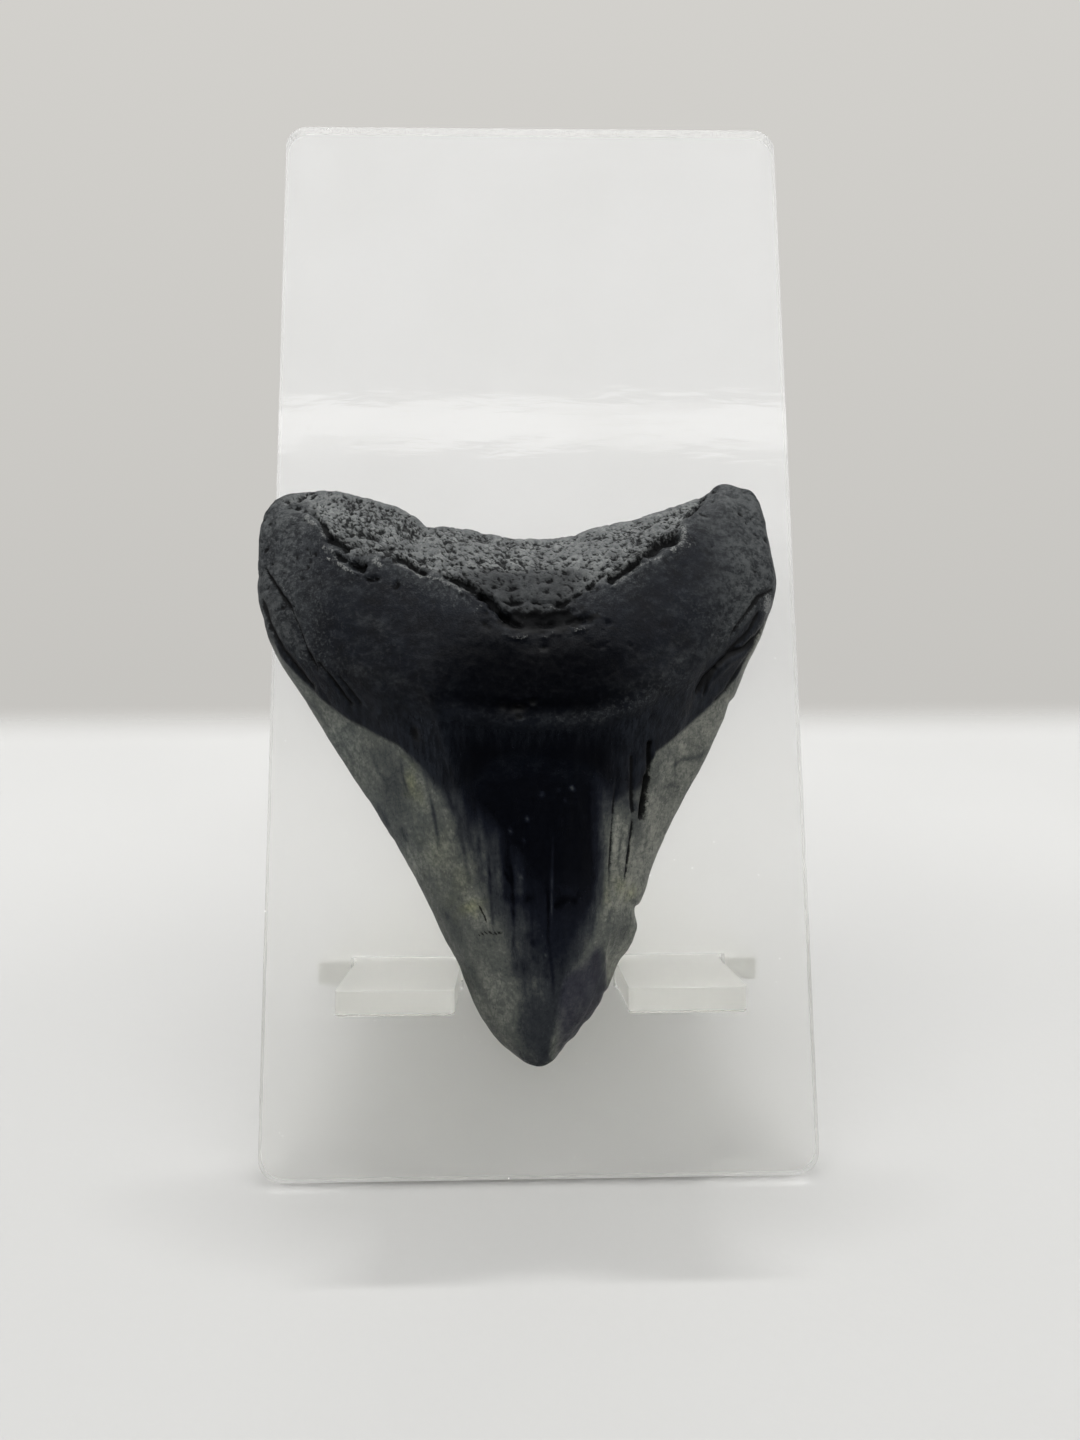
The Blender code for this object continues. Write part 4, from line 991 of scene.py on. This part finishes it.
# painted shade: the trough under the crack and the rubble where its arms meet are painted darker
trough_shade = fm * np.clip(0.80 * trough + 0.55 * rubble, 0, 1)
scuffed = fm * ling * np.clip(0.85 * np.exp(-(np.clip(-above, 0, None) / 3.2) ** 2) * (1 - night) * np.interp(np.abs(X), [4, 12], [0.35, 1.0])
                              + 0.70 * steps(np.abs(X), 22.0, 33.0) + 0.35 * patch(24.0, 72.5, 6.0, 2.4, -40, 761, 0.5)
                              + 0.55 * patch(11.0, 61.5, 9.0, 1.7, 18, 762, 0.5) + 0.15 * ridge_band * steps(X, -6, 6)
                              + 0.06, 0, 1)

store("basal", rough_zone * fm)
# the lobes, the ridge and the ground below the crack are painted lighter: part the stone's paler tone, part painted
# sheen where the outer lobes catch the top and side light
soft = np.zeros_like(X)
for k, (line, width, much) in enumerate([
        ([(5.0, 62.6), (12.0, 64.0), (18.5, 67.6), (24.0, 72.6)], 0.9, 0.34), ([(9.0, 66.0), (16.0, 68.2), (21.5, 72.4), (25.5, 77.0)], 0.7, 0.26),
        ([(14.0, 72.0), (19.5, 75.0), (24.0, 79.5)], 0.8, 0.20), ([(-30.5, 72.0), (-26.5, 68.2), (-20.5, 65.6), (-13.0, 63.4)], 0.9, 0.24),
        ([(-27.0, 76.2), (-21.5, 72.2), (-15.5, 69.8)], 0.9, 0.20), ([(-30.5, 79.5), (-25.5, 76.8), (-20.0, 75.6)], 0.9, 0.18),
        ([(-9.5, 64.6), (-3.0, 63.6), (4.0, 64.4)], 0.8, 0.16), ([(24.0, 86.5), (27.5, 83.0), (30.0, 79.0)], 1.2, 0.22)]):
    soft = np.maximum(soft, much * mark(line, width, 860 + k, 0.5, 0.35) * (0.55 + 0.8 * steps(grain(P, 1.6, 870 + k, 3, 0.7), -0.4, 0.5)))
soft = np.maximum(soft, 0.7 * patch(22.4, 87.4, 1.6, 2.4, 20, 880, 0.5))
beside = np.exp(-(np.clip(-above, 0, None) / (2.3 + 0.9 * grain(P, 2.5, 883, 2))) ** 2)
soft = np.maximum(soft, 0.95 * beside * np.interp(np.abs(X + 1), [6, 11], [0.0, 1.0]) * (0.75 + 0.35 * grain(P, 1.3, 884, 3, 0.7)) * ling)
soft = np.maximum(soft, 0.16 * steps(grain(P, 4.0, 881, 4, 0.65), 0.0, 0.6) * ling)
rubbed_and_lit = np.maximum(rubbed_and_lit, 0.60 * patch(31.6, 76.4, 0.9, 1.8, -20, 882, 0.5))
rubbed_and_lit = np.maximum(rubbed_and_lit, 0.24 * patch(19.6, 82.8, 2.4, 0.7, 38, 885, 0.7))
store("lobes", np.clip(soft + np.where(X > 0, 1.12 * steps(X, 20.0, 29.5), 0.92 * steps(-X, 26.0, 36.0)) * (0.80 + 0.35 * cloud) + 0.33 * ridge_band * steps(X, -6, 6) * (0.6 + 0.8 * grain(P, 2.0, 886, 3)), 0, 1.15))
store("night", night)
store("trough_shade", trough_shade)
store("scuffed", scuffed)
store("root", root)
store("neck", neck)
store("core_neck", core_neck)
store("lateral", lateral)
store("tone", tone)
store("stain", np.clip(stain, 0, 1))
store("grime_and_shade", np.clip(grime_and_shade, 0, 1))
store("rubbed_and_lit", np.clip(rubbed_and_lit, 0, 1))
store("yellow", yellow)
store("violet", violet)
store("bluish", np.clip(bluish, 0, 1))

m, net = material("fossil_stone")
p = net.plate_space()
along_s = net.plate_space((1.0, 0.09, 1.0))
coarse = net.noise(p, 0.22, 4.0, 0.6)
fine = net.noise(p, 1.6, 4.0, 0.65)
dust = net.noise(p, 4.2, 3.0, 0.7)
fibre = net.noise(along_s, 1.5, 4.0, 0.65)
hair = net.noise(along_s, 4.0, 2.0, 0.6)
veins = net.cells(net.plate_space((1.0, 0.8, 1.0)), 0.9, feature="DISTANCE_TO_EDGE")

c_ling = net.mix(net.ramp(coarse, 0.3, 0.7), linear((7, 10, 18)), linear((15, 20, 29)))
c_ling = net.mix(net.ramp(fine, 0.50, 0.72, 0.0, 0.50), c_ling, linear((38, 41, 45)))
c_ling = net.mix(net.ramp(dust, 0.42, 0.28, 0.0, 0.45), c_ling, linear((4, 6, 10)))
middle = net.noise(net.plate_space((0.55, 1.0, 1.0)), 0.75, 5.0, 0.72)
c_ling = net.mix(net.ramp(middle, 0.50, 0.66, 0.0, 0.42), c_ling, linear((44, 48, 54)))
c_ling = net.mix(net.ramp(middle, 0.46, 0.34, 0.0, 0.60), c_ling, linear((4, 6, 10)))
# painted sheen: the lighter lobe colour stands in part for the top and side light they catch
c_lobe_lit = net.mix(net.ramp(net.math("MULTIPLY_ADD", middle, 0.6, net.math("MULTIPLY", fine, 0.4)), 0.40, 0.60), linear((32, 35, 38)), linear((76, 79, 80)))
c_ling = net.mix(net.attribute("lobes"), c_ling, c_lobe_lit)
flecks = net.math("MULTIPLY", net.attribute("scuffed"), net.ramp(net.math("MULTIPLY_ADD", fine, 0.5, net.math("MULTIPLY", dust, 0.5)), 0.50, 0.62))
c_ling = net.mix(net.math("MULTIPLY", flecks, 0.60), c_ling, linear((92, 95, 97)))
c_ling = net.mix(net.attribute("night"), c_ling, net.mix(net.ramp(fine, 0.5, 0.8), linear((2, 3, 7)), linear((10, 12, 18))))
# the porous top face is painted much lighter than the root's front: part stone colour, part painted top light; its pale
# specks are painted glints and its dark specks painted shade in the pores
c_basal_lit = net.mix(net.ramp(fine, 0.34, 0.66), linear((98, 101, 102)), linear((134, 137, 136)))
c_basal_lit = net.mix(net.ramp(dust, 0.56, 0.72, 0.0, 0.42), c_basal_lit, linear((154, 156, 153)))
c_basal_lit = net.mix(net.ramp(dust, 0.44, 0.30, 0.0, 0.48), c_basal_lit, linear((44, 46, 48)))
c_basal_lit = net.mix(net.ramp(coarse, 0.60, 0.42, 0.0, 0.40), c_basal_lit, linear((70, 72, 74)))
colour = net.mix(net.attribute("basal"), c_ling, c_basal_lit)
# painted shade in the trough and the rubble
colour = net.mix(net.math("MULTIPLY", net.attribute("trough_shade"), 0.62), colour, linear((26, 28, 31)))

c_neck = net.mix(net.ramp(fibre, 0.35, 0.7), linear((13, 16, 22)), linear((30, 34, 41)))
c_neck = net.mix(net.attribute("core_neck"), c_neck, linear((4, 5, 9)))
shade = net.math("MULTIPLY_ADD", net.math("MULTIPLY", net.math("SUBTRACT", fine, 0.5), net.math("ADD", net.attribute("tone"), 0.12)), 0.62, net.attribute("tone"))
shade = net.math("MULTIPLY_ADD", net.math("MULTIPLY", net.math("SUBTRACT", coarse, 0.5), net.attribute("tone")), 0.50, shade)
shade = net.math("MULTIPLY_ADD", net.math("MULTIPLY", net.math("SUBTRACT", dust, 0.5), net.attribute("tone")), 0.22, shade)
shade = net.math("MULTIPLY_ADD", net.math("MULTIPLY", net.ramp(hair, 0.56, 0.72), net.attribute("tone")), -0.16, shade)
shade = net.math("MULTIPLY_ADD", net.math("MULTIPLY", net.ramp(veins, 0.05, 0.0), net.attribute("tone")), -0.10, shade)
scale = net.node("ShaderNodeValToRGB")
net.feed(scale.inputs[0], shade)
stops = scale.color_ramp
for place_at, rgb in ((0.0, (3, 4, 8)), (0.2, (20, 23, 31)), (0.45, (49, 52, 55)), (0.72, (83, 86, 82)), (1.0, (133, 134, 126))):
    stop = stops.elements[0] if place_at == 0.0 else (stops.elements[-1] if place_at == 1.0 else stops.elements.new(place_at))
    stop.position = place_at
    stop.color = (*linear(rgb), 1.0)
c_lat = scale.outputs["Color"]
c_lat = net.mix(net.math("MULTIPLY", net.attribute("bluish"), 0.40), c_lat, net.mix(1.0, c_lat, (0.86, 1.0, 1.12), "MULTIPLY"))
c_lat = net.mix(net.attribute("yellow"), c_lat, net.mix(1.0, c_lat, (1.22, 1.22, 0.80), "MULTIPLY"))
c_lat = net.mix(net.attribute("violet"), c_lat, net.mix(1.0, c_lat, (1.0, 0.93, 1.10), "MULTIPLY"))
not_root = net.math("SUBTRACT", 1.0, net.attribute("root"))
colour = net.mix(net.attribute("neck"), colour, c_neck)
colour = net.mix(net.attribute("lateral"), colour, c_lat)
# dirt with painted shade in the hollows, and rubbed stone with painted highlights on the lips, break up along the grain
broken = net.math("ADD", net.math("MULTIPLY", net.math("SUBTRACT", fine, 0.5), 1.1), net.math("MULTIPLY", net.math("SUBTRACT", dust, 0.5), 0.9))
pale = net.math("MULTIPLY", net.ramp(net.math("ADD", net.attribute("rubbed_and_lit"), broken), 0.22, 0.62), net.ramp(net.attribute("rubbed_and_lit"), 0.02, 0.30))
dirt_and_shade = net.math("MULTIPLY", net.ramp(net.math("SUBTRACT", net.attribute("grime_and_shade"), net.math("MULTIPLY", broken, 0.8)), 0.20, 0.60), net.ramp(net.attribute("grime_and_shade"), 0.03, 0.25))
colour = net.mix(net.math("MULTIPLY", pale, 0.72), colour, net.mix(net.ramp(dust, 0.35, 0.65), linear((82, 85, 86)), linear((146, 148, 146))))
colour = net.mix(net.math("MULTIPLY", dirt_and_shade, 0.93), colour, linear((6, 7, 9)))
rough_root = net.math("MULTIPLY_ADD", fine, 0.22, 0.40)
rough_root = net.math("MULTIPLY_ADD", net.attribute("night"), -0.20, rough_root)
rough_crown = net.math("MULTIPLY_ADD", fibre, 0.20, 0.22)
rough_crown = net.math("MULTIPLY_ADD", net.attribute("stain"), -0.08, rough_crown)
rough = net.math("MULTIPLY_ADD", net.attribute("root"), net.math("SUBTRACT", rough_root, rough_crown), rough_crown)
rough = net.math("MULTIPLY_ADD", net.attribute("grime_and_shade"), 0.25, rough, clamp=True)
shader = gloss_shader(net, Base_Color=colour, Roughness=rough, IOR=1.5)
shader.inputs["Specular IOR Level"].default_value = 0.16
pores = net.ramp(net.cells(p, 1.9), 0.05, 0.32)
relief = net.math("MULTIPLY", pores, net.math("MULTIPLY_ADD", net.attribute("basal"), 0.45, 0.05))
relief = net.math("MULTIPLY_ADD", dust, net.math("MULTIPLY_ADD", net.attribute("basal"), 0.5, 0.40), relief)
relief = net.math("MULTIPLY_ADD", fine, net.math("MULTIPLY", net.attribute("root"), 0.30), relief)
relief = net.math("MULTIPLY_ADD", fibre, net.math("MULTIPLY", not_root, 0.35), relief)
relief = net.math("MULTIPLY", relief, net.math("MULTIPLY_ADD", net.attribute("night"), -0.85, 1.0))
relief = net.math("MULTIPLY", relief, net.math("MULTIPLY_ADD", net.math("MULTIPLY", not_root, net.attribute("stain")), -0.6, 1.0))
bump = net.node("ShaderNodeBump")
bump.inputs["Strength"].default_value = 1.0
bump.inputs["Distance"].default_value = 0.00022
net.feed(bump.inputs["Height"], relief)
net.feed(shader.inputs["Normal"], bump.outputs[0])
out = net.node("ShaderNodeOutputMaterial")
net.feed(out.inputs["Surface"], shader.outputs[0])

tooth_mesh.materials.append(m)
tooth = bpy.data.objects.new("megalodon_tooth_surface", tooth_mesh)
scene.collection.objects.link(tooth)
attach(tooth, "root")
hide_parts(tooth_name)

# the clear plate lets the strip's light through, the tooth and its rest stop it
blockers = bpy.data.collections.new("strip_blockers")
blockers.objects.link(tooth)
blockers.objects.link(support)
strip.light_linking.blocker_collection = blockers
